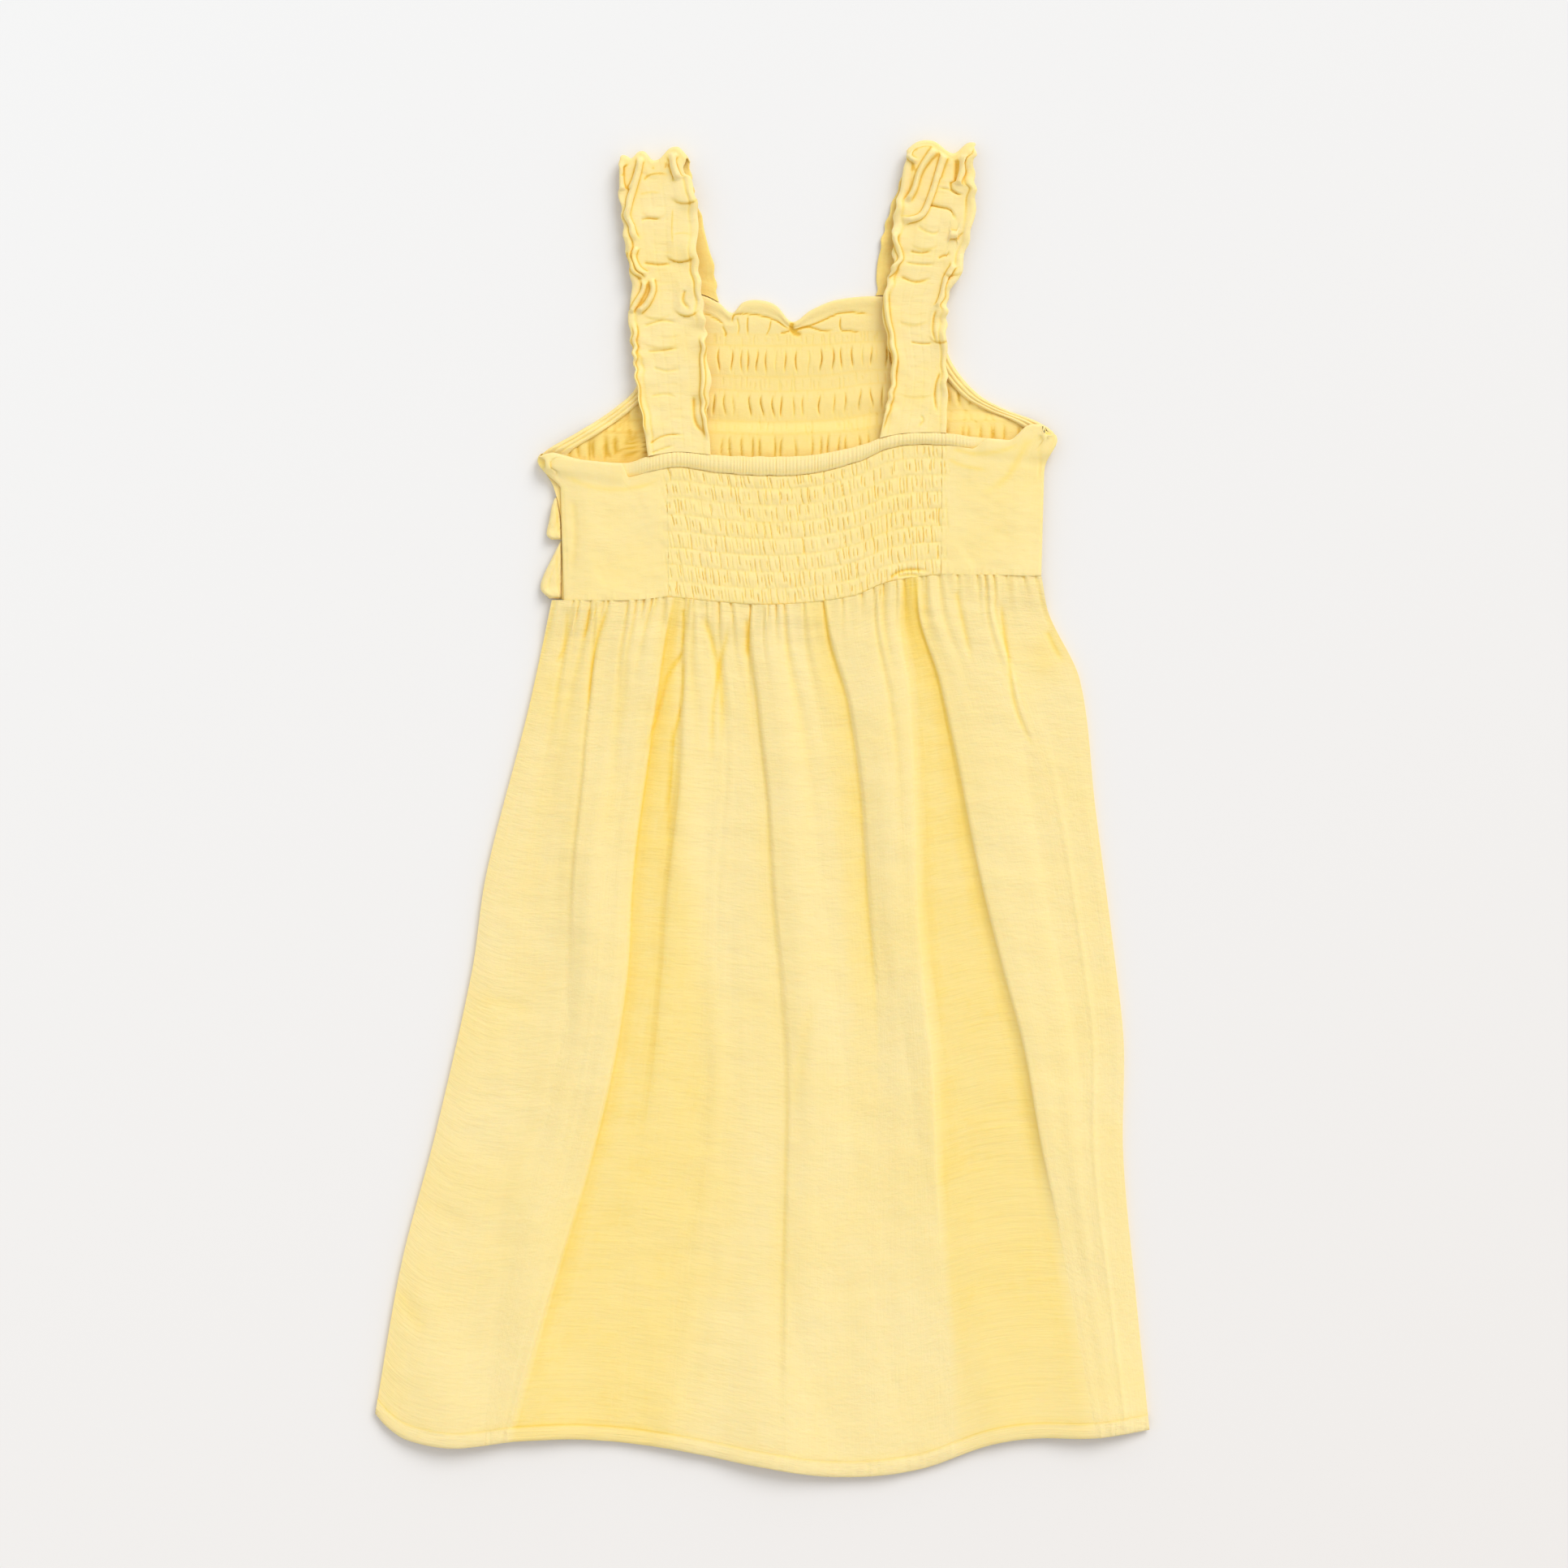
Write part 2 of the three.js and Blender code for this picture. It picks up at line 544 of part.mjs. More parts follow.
const frontBodiceUpper = raised(frontBodiceUnder, (i, j) => {
  const bound = i < BINDING_COLUMNS || i >= frontBodiceColumns.length - BINDING_COLUMNS;
  const puff = bound ? 0 : FRONT_ROWS[j].puff * FRONT_PUFF * (0.7 + 0.3 * zigzag(i));
  return CLOTH + puff;
});

// The binding along one armhole edge of the front, on its inside face
function armholeBinding(columns) {
  const rows = frontBodiceUpper.slice(0, BINDING_ROWS + 1);
  const face = rows.map((row) => columns.map((i) => row[i]));
  const ridge = (k) => (k === 1 ? BINDING_RIDGE : 0);
  return wallBetween(
    raised(face, (k) => SEAM + BINDING_THICK + ridge(k)),
    raised(face, () => SEAM),
  );
}

// A ruffle across the outside of the front, flat underneath where it lies
function frontRuffle({ yTop, yBottom, xTop, xBottom, xRight }) {
  const columns = steps(2 * RUFFLE_WAVES);
  const rows = steps(RUFFLE_ROWS);
  const slant = (x) => waistY(x) - waistLeft.y; // the ruffles run parallel with the waist seam
  const under = gridOf(columns, rows, (u, v) => {
    const x = mix(mix(xTop, xBottom, v), xRight, u);
    return new THREE.Vector3(x, mix(yTop, yBottom, v) + slant(x), 0);
  });
  const upper = raised(under, (i, j) => RUFFLE_CLOTH + (i % 2) * RUFFLE_WAVE * j);
  return wallBetween(upper, under, [0, rows.length - 1]);
}

// The back bodice: a shirred panel in the middle and a plain one at each side
const casingLow = through(CASING, "x", "low");
const casingHigh = through(CASING, "x", "high");
const casingThick = through(CASING, "x", "thick");
const [casingLeft, casingRight] = [CASING[0], CASING[CASING.length - 1]];
const backFoot = { x: -103, y: waistY(-103) }; // lower left corner, at the side seam
const backEdge = (top, foot) => (v) => ({
  x: mix(top.x, foot.x, v),
  y: mix(top.low - SEAM, foot.y + WAIST_SEAM, v),
});
const backPatch = patchBetween(
  (u) => {
    const x = mix(casingLeft.x, casingRight.x, u);
    return { x, y: casingLow(x) - SEAM };
  },
  (u) => {
    const x = mix(backFoot.x, waistRight.x, u);
    return { x, y: waistY(x) + WAIST_SEAM };
  },
  backEdge(casingLeft, backFoot),
  backEdge(casingRight, waistRight),
);
const stitchRows = steps(BACK_ROWS - 1, 0, BACK_ROWS - 1).map((k) => BACK_FIRST_ROW + BACK_ROW_PITCH * k);
const puffRows = stitchRows.map((v, k) => (v + (stitchRows[k + 1] ?? 1)) / 2);
const shirredRows = [0, BACK_FIRST_ROW / 2, ...stitchRows.flatMap((v, k) => [v, puffRows[k]]), 1];
const panelGap = SEAM / (casingRight.x - casingLeft.x);

function backPanel(columns, rows, thickness) {
  const under = gridOf(columns, rows, (u, v) => {
    const { x, y } = backPatch(u, v);
    const fromSide = smooth(Math.min(u, 1 - u) / BACK_SIDE_SHARE);
    return new THREE.Vector3(x, y, mix(BACK_EDGE, BACK_LAYER, fromSide));
  });
  return wallBetween(raised(under, thickness), under, [0, rows.length - 1]);
}
const plainThickness = () => CLOTH + 0.2;
// Every other row of the middle panel lies between two rows of elastic, where the cloth puffs up.
const shirredThickness = (i, j) =>
  CLOTH - 0.3 + (j % 2) * BACK_PUFF * (0.72 + 0.28 * zigzag(i));

// The elastic casing: a soft roll of rounded sections along the back's top edge
function casingGeometry() {
  const sections = steps(2 * CASING_RIBS, casingLeft.x + 0.5, casingRight.x - 0.5);
  const points = [];
  sections.forEach((x, i) => {
    const [low, high, thick] = [casingLow(x), casingHigh(x), casingThick(x)];
    const middle = smooth((thick - CASING_FLAT) / (CASING_FULL - CASING_FLAT));
    const rib = CASING_RIB * zigzag(i) * middle;
    const base = mix(BACK_EDGE + 0.2, BACK_LAYER - 0.1, middle);
    for (let k = 0; k < CASING_SIDES; k += 1) {
      const turn = (2 * Math.PI * (k + 0.5)) / CASING_SIDES;
      const across = ((high - low) / 2) * Math.cos(turn);
      const height = (thick / 2) * Math.sin(turn) + (Math.sin(turn) > 0.5 ? rib : 0);
      points.push(new THREE.Vector3(x, (low + high) / 2 + across, base + thick / 2 + height));
    }
  });
  return tubeOf(points, CASING_SIDES);
}

// A closed tube through rings of points, each of the same number of sides.
function tubeOf(points, sides) {
  const rings = points.length / sides;
  const at = (ring, k) => ring * sides + (k % sides);
  const faces = [];
  for (let ring = 0; ring < rings - 1; ring += 1)
    for (let k = 0; k < sides; k += 1) {
      faces.push([at(ring, k), at(ring, k + 1), at(ring + 1, k + 1)]);
      faces.push([at(ring, k), at(ring + 1, k + 1), at(ring + 1, k)]);
    }
  for (let k = 1; k < sides - 1; k += 1) {
    faces.push([at(0, 0), at(0, k + 1), at(0, k)]);
    faces.push([at(rings - 1, 0), at(rings - 1, k), at(rings - 1, k + 1)]);
  }
  return geometryOf(points, faces);
}

// A strap: one long strip from the front's top edge over the shoulder fold to the casing
function strapGeometry({ down, up, lobes, wavePhase }) {
  const lowerX = through(down, "y", "x");
  const lowerHalf = through(down, "y", "half");
  const upperX = through(up, "y", "x");
  const upperHalf = through(up, "y", "half");
  const top = up[0];
  const [yStart, yEnd] = [down[0].y, up[up.length - 1].y];
  const lowerMiddle = STRAP_CLOTH / 2;
  const turnRadius = (STRAP_UPPER - lowerMiddle) / 2;
  const lowerSteps = Math.round((top.y - yStart) / STRAP_STEP);
  const upperSteps = Math.round((top.y - yEnd) / STRAP_STEP);
  const stations = [];
  for (const t of steps(lowerSteps)) {
    const y = mix(yStart, top.y, t);
    const start = 1 - smooth((y - yStart) / STRAP_STARTS);
    stations.push({ x: lowerX(y), y, z: lowerMiddle, half: lowerHalf(y), turn: 0, start, end: 0 });
  }
  for (const t of steps(STRAP_TURN_STEPS).slice(1, -1)) {
    const turn = Math.PI * t;
    stations.push({
      x: top.x,
      y: top.y + turnRadius * Math.sin(turn),
      z: lowerMiddle + turnRadius * (1 - Math.cos(turn)),
      half: top.half,
      turn,
      start: 0,
      end: 0,
    });
  }
  for (const t of steps(upperSteps)) {
    const y = mix(top.y, yEnd, t);
    const end = 1 - smooth((y - yEnd) / STRAP_ENDS);
    const z = mix(STRAP_UPPER, STRAP_AT_CASING, end);
    stations.push({ x: upperX(y), y, z, half: upperHalf(y), turn: Math.PI, start: 0, end });
  }
  const bump = (t) => Math.exp(-(t ** 2));
  const lobeAt = (w) => lobes.reduce((sum, lobe) => sum + lobe.out * bump((w - lobe.w) / LOBE_WIDTH), 0);
  const point = (side, { x, y, z, half, turn, start, end }, j, w) => {
    const ruffle = smooth((Math.abs(w) - STRAP_BAND) / (1 - STRAP_BAND));
    const turns = (j * STRAP_STEP) / STRAP_WAVE + wavePhase + (w > 0 ? OTHER_EDGE : 0);
    const phase = 2 * Math.PI * turns;
    const loose = ruffle * (1 - Math.max(start, end));
    const [under, over] = [turn === 0, turn === Math.PI];
    const wave = under ? -0.3 * (1 + Math.sin(phase)) : 0.6 * Math.sin(phase) + 0.15;
    const rise = under || over ? STRAP_WAVE_RISE * loose * wave : 0;
    const rib = over && side > 0 && ruffle === 0 ? STRAP_RIB * zigzag(j) * (1 - end) : 0;
    const px = x + half * w + STRAP_WAVE_OUT * loose * Math.sign(w) * Math.cos(phase);
    const follow = start * (headerY(px) + SEAM - yStart) + end * (casingHigh(px) + SEAM - yEnd);
    const out = side * (STRAP_CLOTH / 2) + rise + rib;
    const beyond = (out + Math.sin(turn) * lobeAt(w)) * Math.sin(turn);
    return new THREE.Vector3(px, y + beyond + follow, z - out * Math.cos(turn));
  };
  const surface = (side) =>
    stations.map((station, j) => STRAP_LINES.map((w) => point(side, station, j, w)));
  return wallBetween(surface(1), surface(-1));
}

addPiece("skirt_front", wallBetween(frontSkirtUpper, frontSkirtUnder), INSIDE_YELLOW);
addPiece("skirt_back", wallBetween(backSkirtUpper, backSkirtUnder));
for (const ruffle of RUFFLES) addPiece(ruffle.name, frontRuffle(ruffle));
const lastRow = FRONT_ROWS.length - 1;
addPiece(
  "bodice_front",
  wallBetween(frontBodiceUpper, frontBodiceUnder, [0, FRONT_ON_TABLE, FRONT_ON_RUFFLES, lastRow]),
  INSIDE_YELLOW,
);
const lastColumn = frontBodiceColumns.length - 1;
addPiece("armhole_binding_left", armholeBinding([0, 1, 2]));
addPiece("armhole_binding_right", armholeBinding([lastColumn - 2, lastColumn - 1, lastColumn]));
const centreColumns = steps(2 * BACK_GATHERS, CENTRE_FROM, CENTRE_TO);
addPiece("bodice_back_centre", backPanel(centreColumns, shirredRows, shirredThickness));
addPiece("bodice_back_side_left", backPanel(steps(6, 0, CENTRE_FROM - panelGap), steps(4), plainThickness));
addPiece("bodice_back_side_right", backPanel(steps(6, CENTRE_TO + panelGap, 1), steps(4), plainThickness));
addPiece("back_casing", casingGeometry());
for (const strap of STRAPS) addPiece(strap.name, strapGeometry(strap));

export default dress;
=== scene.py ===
import math

import bpy
import numpy as np
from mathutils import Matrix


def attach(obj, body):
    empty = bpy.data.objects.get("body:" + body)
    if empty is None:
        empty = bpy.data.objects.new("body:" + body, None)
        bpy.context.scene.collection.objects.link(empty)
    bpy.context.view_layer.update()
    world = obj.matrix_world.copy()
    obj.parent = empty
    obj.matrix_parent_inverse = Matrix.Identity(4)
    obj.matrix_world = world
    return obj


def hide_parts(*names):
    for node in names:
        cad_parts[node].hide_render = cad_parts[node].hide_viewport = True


# A child's dress in crinkled double gauze, laid flat with its back up.
# Lengths are in millimetres until a mesh is written, where MM turns them into metres.
# In the frame x runs to the right, y towards the shoulders and z up from the surface.
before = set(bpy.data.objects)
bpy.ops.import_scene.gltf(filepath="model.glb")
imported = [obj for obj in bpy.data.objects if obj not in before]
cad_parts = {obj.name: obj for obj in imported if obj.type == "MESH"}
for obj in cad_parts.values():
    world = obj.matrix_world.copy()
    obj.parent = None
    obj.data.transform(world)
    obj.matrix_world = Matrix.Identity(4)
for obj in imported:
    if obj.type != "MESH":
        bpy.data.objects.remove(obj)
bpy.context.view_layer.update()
bpy.ops.object.select_all(action="DESELECT")

MM = 0.001
CLOTH = 1.6  # wall of the gauze
BARE = CLOTH - 0.3  # and the same in the back, to which its folds and crinkles are added
SEAM = 0.35  # clearance between pieces that are sewn together
CLOSED = 0.03  # and where the sewing draws them together
HEM_WIDTH = 7.5
HEM_RISE = 0.9  # how much thicker the turned-up hem is
CLOTH_SMOOTH, ROLL_SMOOTH = 75, 70  # degrees up to which an edge is shaded smooth
INSIDE_PAINTED_SHADE = 0.6  # painted shade on the inside face of a wall, from 0 to 1
RUFFLE_LAYER = 2.4  # height at which the front bodice lies on its ruffles
BACK_LAYER = 6.0  # height of the back bodice's inside face
BACK_EDGE = 4.4  # and the same at the side seams


# Plain maths on numbers and arrays

def clamp(t):
    return np.clip(t, 0.0, 1.0)


def smooth(t):
    t = clamp(t)
    return t * t * (3 - 2 * t)


def between(t, start, end, rise, fall):
    """1 from start to end and 0 outside them, with soft ends of the lengths rise and fall."""
    return smooth((t - start) / rise) * smooth((end - t) / fall)


def mix(a, b, t):
    return a + (b - a) * t


def steps(count, low=0.0, high=1.0):
    return np.linspace(low, high, count + 1)


def joined(*runs):
    """Steps through several runs that follow each other, each a count and its two ends."""
    return np.concatenate([steps(*run)[:-1] for run in runs[:-1]] + [steps(*runs[-1])])


def hump(t):
    return np.exp(-(t**2))


def round_over(t):
    """How high a rounded edge stands, at share t of its radius in from the rim."""
    return np.sqrt(1 - (1 - clamp(t)) ** 2)


def table(names, rows):
    columns = names.split()
    return [dict(zip(columns, row)) for row in rows]


def through(rows, start, end):
    """A smooth function through the rows of a table, from its column start to its column end."""
    points = np.array(sorted((row[start], row[end]) for row in rows), float)
    x, y = points[:, 0], points[:, 1]
    before = np.maximum(np.arange(len(x)) - 1, 0)
    after = np.minimum(np.arange(len(x)) + 1, len(x) - 1)
    slope = (y[after] - y[before]) / (x[after] - x[before])

    def value(t):
        t = np.asarray(t, float)
        i = np.clip(np.searchsorted(x, t, side="right") - 1, 0, len(x) - 2)
        span = x[i + 1] - x[i]
        s = clamp((t - x[i]) / span)
        ends = mix(y[i], y[i + 1], smooth(s))
        return ends + span * (s * (1 - s) ** 2 * slope[i] - s * s * (1 - s) * slope[i + 1])

    return value


def wander(seed, t, pitch, waves=5):
    """A smooth uneven line between about -1 and 1, with bends about pitch apart."""
    draw = np.random.default_rng(seed)
    t = np.asarray(t, float)
    total = np.zeros_like(t)
    for size in draw.uniform(0.5, 1.0, waves):
        length = pitch * draw.uniform(0.7, 2.2)
        total = total + size * np.sin(2 * np.pi * (t / length + draw.uniform()))
    return total / (0.62 * waves)


def grain(seed, x, y, wide, tall, layers=2):
    """A smooth uneven surface between about -1 and 1, with humps of about that width and height."""
    draw = np.random.default_rng(seed)
    total = np.zeros(np.broadcast(x, y).shape)
    for k in range(layers):
        knots = draw.uniform(-1, 1, (128, 128))
        a = x / wide * 2**k + draw.uniform(500, 600)
        b = y / tall * 2**k + draw.uniform(500, 600)
        i, j = np.floor(a).astype(int), np.floor(b).astype(int)
        s, t = smooth(a - i), smooth(b - j)
        i, j, i2, j2 = i % 128, j % 128, (i + 1) % 128, (j + 1) % 128
        low, high = mix(knots[i, j], knots[i2, j], s), mix(knots[i, j2], knots[i2, j2], s)
        total = total + mix(low, high, t) * 0.6**k
    return total


# The outline

WAIST = table("x y", [
    (-109, 107.5), (-66, 107.5), (-49, 109), (-25, 106.7), (7, 105.2),
    (45, 109.2), (66, 117), (94, 120.5), (144.3, 120),
])
HEM = table("x y", [
    (-200.6, -313.7), (-195, -320), (-184.6, -326.8), (-160, -331), (-126, -327.6),
    (-92, -326.9), (-50, -331.4), (-4, -340.2), (38, -346.1), (80, -342.7),
    (118, -329.7), (140, -326.3), (172, -325.9), (200.4, -322.1),
])
LEFT_SIDE = table("y x", [
    (107.5, -109), (49.6, -121.6), (-34, -143), (-85, -150.6), (-169, -169.5),
    (-236, -187), (-313.7, -200.6),
])
RIGHT_SIDE = table("y x", [
    (120, 144.3), (100, 148.5), (66, 164.4), (0, 172.4), (-85, 183.3), (-123, 187.1),
    (-180, 186.8), (-253, 193.4), (-322.1, 200.4),
])
waist_y = through(WAIST, "x", "y")
hem_y = through(HEM, "x", "y")


def patch(top, bottom, left, right):
    """The surface patch between four edge curves that share their corners."""

    def corner(curve, t):
        return [float(c) for c in curve(np.float64(t))]

    a, b, c, d = corner(top, 0), corner(top, 1), corner(bottom, 0), corner(bottom, 1)

    def at(u, v):
        t, m, l, r = top(u), bottom(u), left(v), right(v)
        return tuple(
            (1 - v) * t[k] + v * m[k] + (1 - u) * l[k] + u * r[k]
            - (1 - u) * (1 - v) * a[k] - u * (1 - v) * b[k] - (1 - u) * v * c[k] - u * v * d[k]
            for k in (0, 1)
        )

    return at


def across(y_of_x, left, right, lift=0.0):
    """An edge curve that runs across, from x left to x right."""
    return lambda u: (mix(left, right, u), y_of_x(mix(left, right, u)) + lift)


def down_along(x_of_y, high, low):
    """An edge curve that runs down, from y high to y low."""
    return lambda v: (x_of_y(mix(high, low, v)), mix(high, low, v))


skirt_patch = patch(
    across(waist_y, WAIST[0]["x"], WAIST[-1]["x"]),
    across(hem_y, HEM[0]["x"], HEM[-1]["x"]),
    down_along(through(LEFT_SIDE, "y", "x"), WAIST[0]["y"], HEM[0]["y"]),
    down_along(through(RIGHT_SIDE, "y", "x"), WAIST[-1]["y"], HEM[-1]["y"]),
)


def skirt_width(v):
    return mix(WAIST[-1]["x"] - WAIST[0]["x"], HEM[-1]["x"] - HEM[0]["x"], v)


# The skirt's main folds, as in the solids: a crease line at six depths, its rise, its higher side,
# its spread and the share of the length where it ends. Lean is how far its crest hangs over its foot.
DEPTHS = dict(waist=0, high=0.12, upper=0.25, middle=0.45, lower=0.7, hem=1)
FOLDS = table("waist high upper middle lower hem rise side spread ends lean", [
    (0.105, 0.109, 0.131, 0.151, 0.15, 0.14, 2.8, 1, 22, 0.5, 1.2),
    (0.245, 0.225, 0.229, 0.237, 0.222, 0.17, 4.6, -1, 48, 1.06, 1.9),
    (0.277, 0.278, 0.295, 0.294, 0.3, 0.3, 3, 1, 20, 0.72, 1.0),
    (0.318, 0.34, 0.362, 0.37, 0.38, 0.38, 1.6, -1, 14, 0.3, 0.4),
    (0.41, 0.416, 0.452, 0.483, 0.517, 0.527, 3, 1, 34, 1.0, 0.7),
    (0.565, 0.582, 0.612, 0.63, 0.64, 0.645, 3.2, 1, 24, 0.55, 1.2),
    (0.712, 0.69, 0.698, 0.703, 0.735, 0.75, 2.6, -1, 28, 0.85, 0.2),
    (0.748, 0.749, 0.782, 0.825, 0.892, 0.93, 5.2, 1, 42, 0.84, 2.1),
    (0.9, 0.882, 0.925, 0.945, 0.955, 0.965, 2.2, -1, 20, 0.28, 0.6),
])
FOLD_EDGE = 2.2
TALLEST = 6.5
for fold in FOLDS:
    fold["at"] = through([{"v": v, "u": fold[name]} for name, v in DEPTHS.items()], "v", "u")


def fold_height(u, v):
    """What the folds add at shares u across and v down: their height, how far their crests lean
    over, and the painted shade at the foot of each crease."""
    total = np.zeros(np.broadcast(u, v).shape)
    lean = np.zeros_like(total)
    painted_shade = np.zeros_like(total)
    for fold in FOLDS:
        away = fold["side"] * (u - fold["at"](v)) * skirt_width(v)
        step = smooth((away + FOLD_EDGE) / (2 * FOLD_EDGE))
        fall = 1 - smooth((away - FOLD_EDGE) / fold["spread"])
        along = smooth(0.3 + v / 0.08) * smooth((fold["ends"] - v) / 0.25)
        uneven = 0.75 + 0.3 * wander(int(1000 * fold["waist"]), v, 0.35)
        total += fold["rise"] * step * fall * along
        lean -= fold["side"] * fold["lean"] * along * uneven * hump((away - 1.2) / 2.0)
        foot = 0.3 * hump((away + 3.0) / 5.0) + 0.6 * hump((away + 0.9) / 1.2)
        painted_shade += (1 - 0.5 * v) * along * uneven * foot * fold["rise"] / 4.5
    return TALLEST * np.tanh(total / TALLEST), lean, painted_shade


def lane_grid(lanes, v):
    """Shares across the skirt at which lines of cloth that start at lanes on the waist lie at depth v."""
    starts = [0] + [fold["waist"] for fold in FOLDS] + [1]
    return np.array([
        np.interp(lanes, starts, [0] + [float(fold["at"](d)) for fold in FOLDS] + [1]) for d in v
    ])


def inside_seams(u, v, reach):
    """0 at the side seams, and 1 from about reach inside them."""
    return 1 - np.exp(-np.minimum(u, 1 - u) * skirt_width(v) / reach)


def hem_wave(x):
    return 0.5 + 0.5 * np.sin(x / 26 + 1.2)


# Rolls and creases that are listed for a piece, each along a short line of points

def beside(x, y, points):
    """Distance of each point from a smooth line through points, its share along, and the way out."""
    points = np.array(points, float)
    rows = [dict(t=t, x=p[0], y=p[1]) for t, p in enumerate(points)]
    t = steps(6 * (len(points) - 1), 0, len(points) - 1)
    lx, ly = through(rows, "t", "x")(t), through(rows, "t", "y")(t)
    near = np.full(np.broadcast(x, y).shape, 1e9)
    share, way_x, way_y = np.zeros_like(near), np.zeros_like(near), np.zeros_like(near)
    for k in range(len(lx) - 1):
        sx, sy = lx[k + 1] - lx[k], ly[k + 1] - ly[k]
        s = clamp(((x - lx[k]) * sx + (y - ly[k]) * sy) / (sx * sx + sy * sy))
        dx, dy = x - lx[k] - s * sx, y - ly[k] - s * sy
        gap = np.hypot(dx, dy)
        closer = gap < near
        near = np.where(closer, gap, near)
        share = np.where(closer, (k + s) / (len(lx) - 1), share)
        way_x = np.where(closer, dx / (gap + 1e-6), way_x)
        way_y = np.where(closer, dy / (gap + 1e-6), way_y)
    return near, share, way_x, way_y


ROLL_FADE, CREASE_FADE = 0.12, 0.3  # share of its line over which each fades at its last end
ROLL_TURN = 2.0  # how far round a roll's arc goes to each side of its top, in radians
ROLL_RISE = 1.42  # and the height of that arc, in radii


def rolls(x, y, rows):
    """What rolls of cloth add to a surface: height, sideways shift and the painted shade in their hollows.
    Each row has its line, half width and height, and for creases the height is below 0."""
    shape = np.broadcast(x, y).shape
    height, move_x, move_y, painted_shade = (np.zeros(shape) for _ in range(4))
    for line, half, rise in rows:
        near, share, way_x, way_y = beside(x, y, line)
        fade_out = CREASE_FADE if rise < 0 else ROLL_FADE
        taper = smooth(share / ROLL_FADE) * smooth((1 - share) / fade_out) * (near < 4 * half)
        if rise < 0:
            height += rise * taper * hump(near / half)
            painted_shade += taper * min(1, -rise) * min(1, 1.5 / half) * hump(near / half)
            continue
        radius = rise / ROLL_RISE
        turn = clamp(near / half) * ROLL_TURN
        tucked = radius * np.sin(turn) - half * clamp(near / half)
        fade = np.where(near < half, 1, hump((near - half) / half))
        pull = taper * np.minimum(0, tucked) * fade * 0.8
        top = rise - radius * (1 - np.cos(turn))
        height = np.maximum(height, taper * top * (near < half))
        move_x += way_x * pull
        move_y += way_y * pull
        painted_shade += 1.05 * taper * hump((near - half * 0.95) / 0.75)
    return height, move_x, move_y, painted_shade


def gathers(seed, place, row, bands, pitch, half, whole=0.0):
    """Short sharp valleys between puffs, uneven in place, length and strength. place is the way
    across in millimetres, and row the number of the band between two rows of elastic, from its top.
    The higher whole is, the more of them run from row to row."""
    draw = np.random.default_rng(seed)
    place, row = np.broadcast_arrays(place, row)
    valley = np.zeros(place.shape)
    low, high = place.min(), place.max()
    for band in range(bands):
        spot = (row >= band) & (row < band + 1)
        if not spot.any():
            continue
        across_band, within = place[spot], row[spot] - band
        found = np.zeros(across_band.shape)
        for start in np.arange(low, high, pitch) + pitch * draw.uniform(0, 1):
            start = start + pitch * draw.uniform(-0.42, 0.42)
            strong = draw.choice([0.15, 0.45, 0.75, 1.0], p=[0.15, 0.25, 0.3, 0.3])
            top, foot = draw.uniform(-0.15, 0.3) - 0.2 * whole, draw.uniform(0.68, 1.15) + 0.2 * whole
            strong = mix(strong, 1.0, 0.6 * whole)
            bend, slant = draw.uniform(-0.25, 0.25, 2) * pitch
            middle = start + bend * np.sin(np.pi * within) + slant * (within - 0.5)
            length = between(within, top, foot, 0.18, 0.18)
            found = np.maximum(found, strong * length * np.exp(-np.abs((across_band - middle) / half) ** 1.5))
        valley[spot] = found
    return valley


# Making a cloth wall: a grid that is shaped, given its thickness, and set on its inside

def finish_mesh(angle):
    """Turns the faces of the active mesh outwards and shades it smooth."""
    bpy.ops.object.mode_set(mode="EDIT")
    bpy.ops.mesh.select_all(action="SELECT")
    bpy.ops.mesh.normals_make_consistent(inside=False)
    bpy.ops.object.mode_set(mode="OBJECT")
    bpy.ops.object.shade_smooth_by_angle(angle=math.radians(angle))


def grid_mesh(name, points, cut):
    """A grid of points, rows down by columns across, with the flat cut's weave laid on it."""
    rows, columns = points.shape[:2]
    bpy.ops.mesh.primitive_grid_add(x_subdivisions=columns - 1, y_subdivisions=rows - 1, size=1)
    piece = bpy.context.object
    piece.name = piece.data.name = name
    piece.data.vertices.foreach_set("co", (points[::-1] * MM).ravel())
    place = np.empty(len(piece.data.loops), int)
    piece.data.loops.foreach_get("vertex_index", place)
    weave_x = (place % columns) / (columns - 1) * cut[0] * MM
    weave_y = (place // columns) / (rows - 1) * cut[1] * MM
    piece.data.uv_layers[0].name = "Cloth"
    piece.data.uv_layers[0].data.foreach_set("uv", np.stack([weave_x, weave_y], 1).ravel())
    return piece


def cloth(name, outer, inner, cut, painted_shade):
    """A closed cloth wall between two grids of points. cut is the cloth's flat width and length,
    and the last argument the painted shade on each point of the outer face, from 0 to 1."""
    piece = grid_mesh(name, outer, cut)
    count = outer.shape[0] * outer.shape[1]
    wall = piece.modifiers.new("wall", "SOLIDIFY")
    wall.thickness = CLOTH * MM
    wall.offset = -1
    bpy.ops.object.modifier_apply(modifier="wall")
    points = np.empty(len(piece.data.vertices) * 3)
    piece.data.vertices.foreach_get("co", points)
    points[3 * count:] = (inner[::-1] * MM).ravel()
    piece.data.vertices.foreach_set("co", points)
    # Painted shade on every point, as in hollows and creases, which the materials turn into darker, warmer
    # colour
    shade_in_hollows = np.full(len(piece.data.vertices), INSIDE_PAINTED_SHADE)
    shade_in_hollows[:count] = clamp(np.broadcast_to(painted_shade, outer.shape[:2])[::-1]).ravel()
    piece.data.attributes.new("PaintedShade", "FLOAT", "POINT").data.foreach_set("value", shade_in_hollows)
    piece.data.update()
    finish_mesh(CLOTH_SMOOTH)
    return piece


def stack(x, y, z):
    """A grid of points from grids or rows of their three coordinates."""
    return np.stack(np.broadcast_arrays(x, y, z), axis=-1)


# The front skirt, which lies on the surface

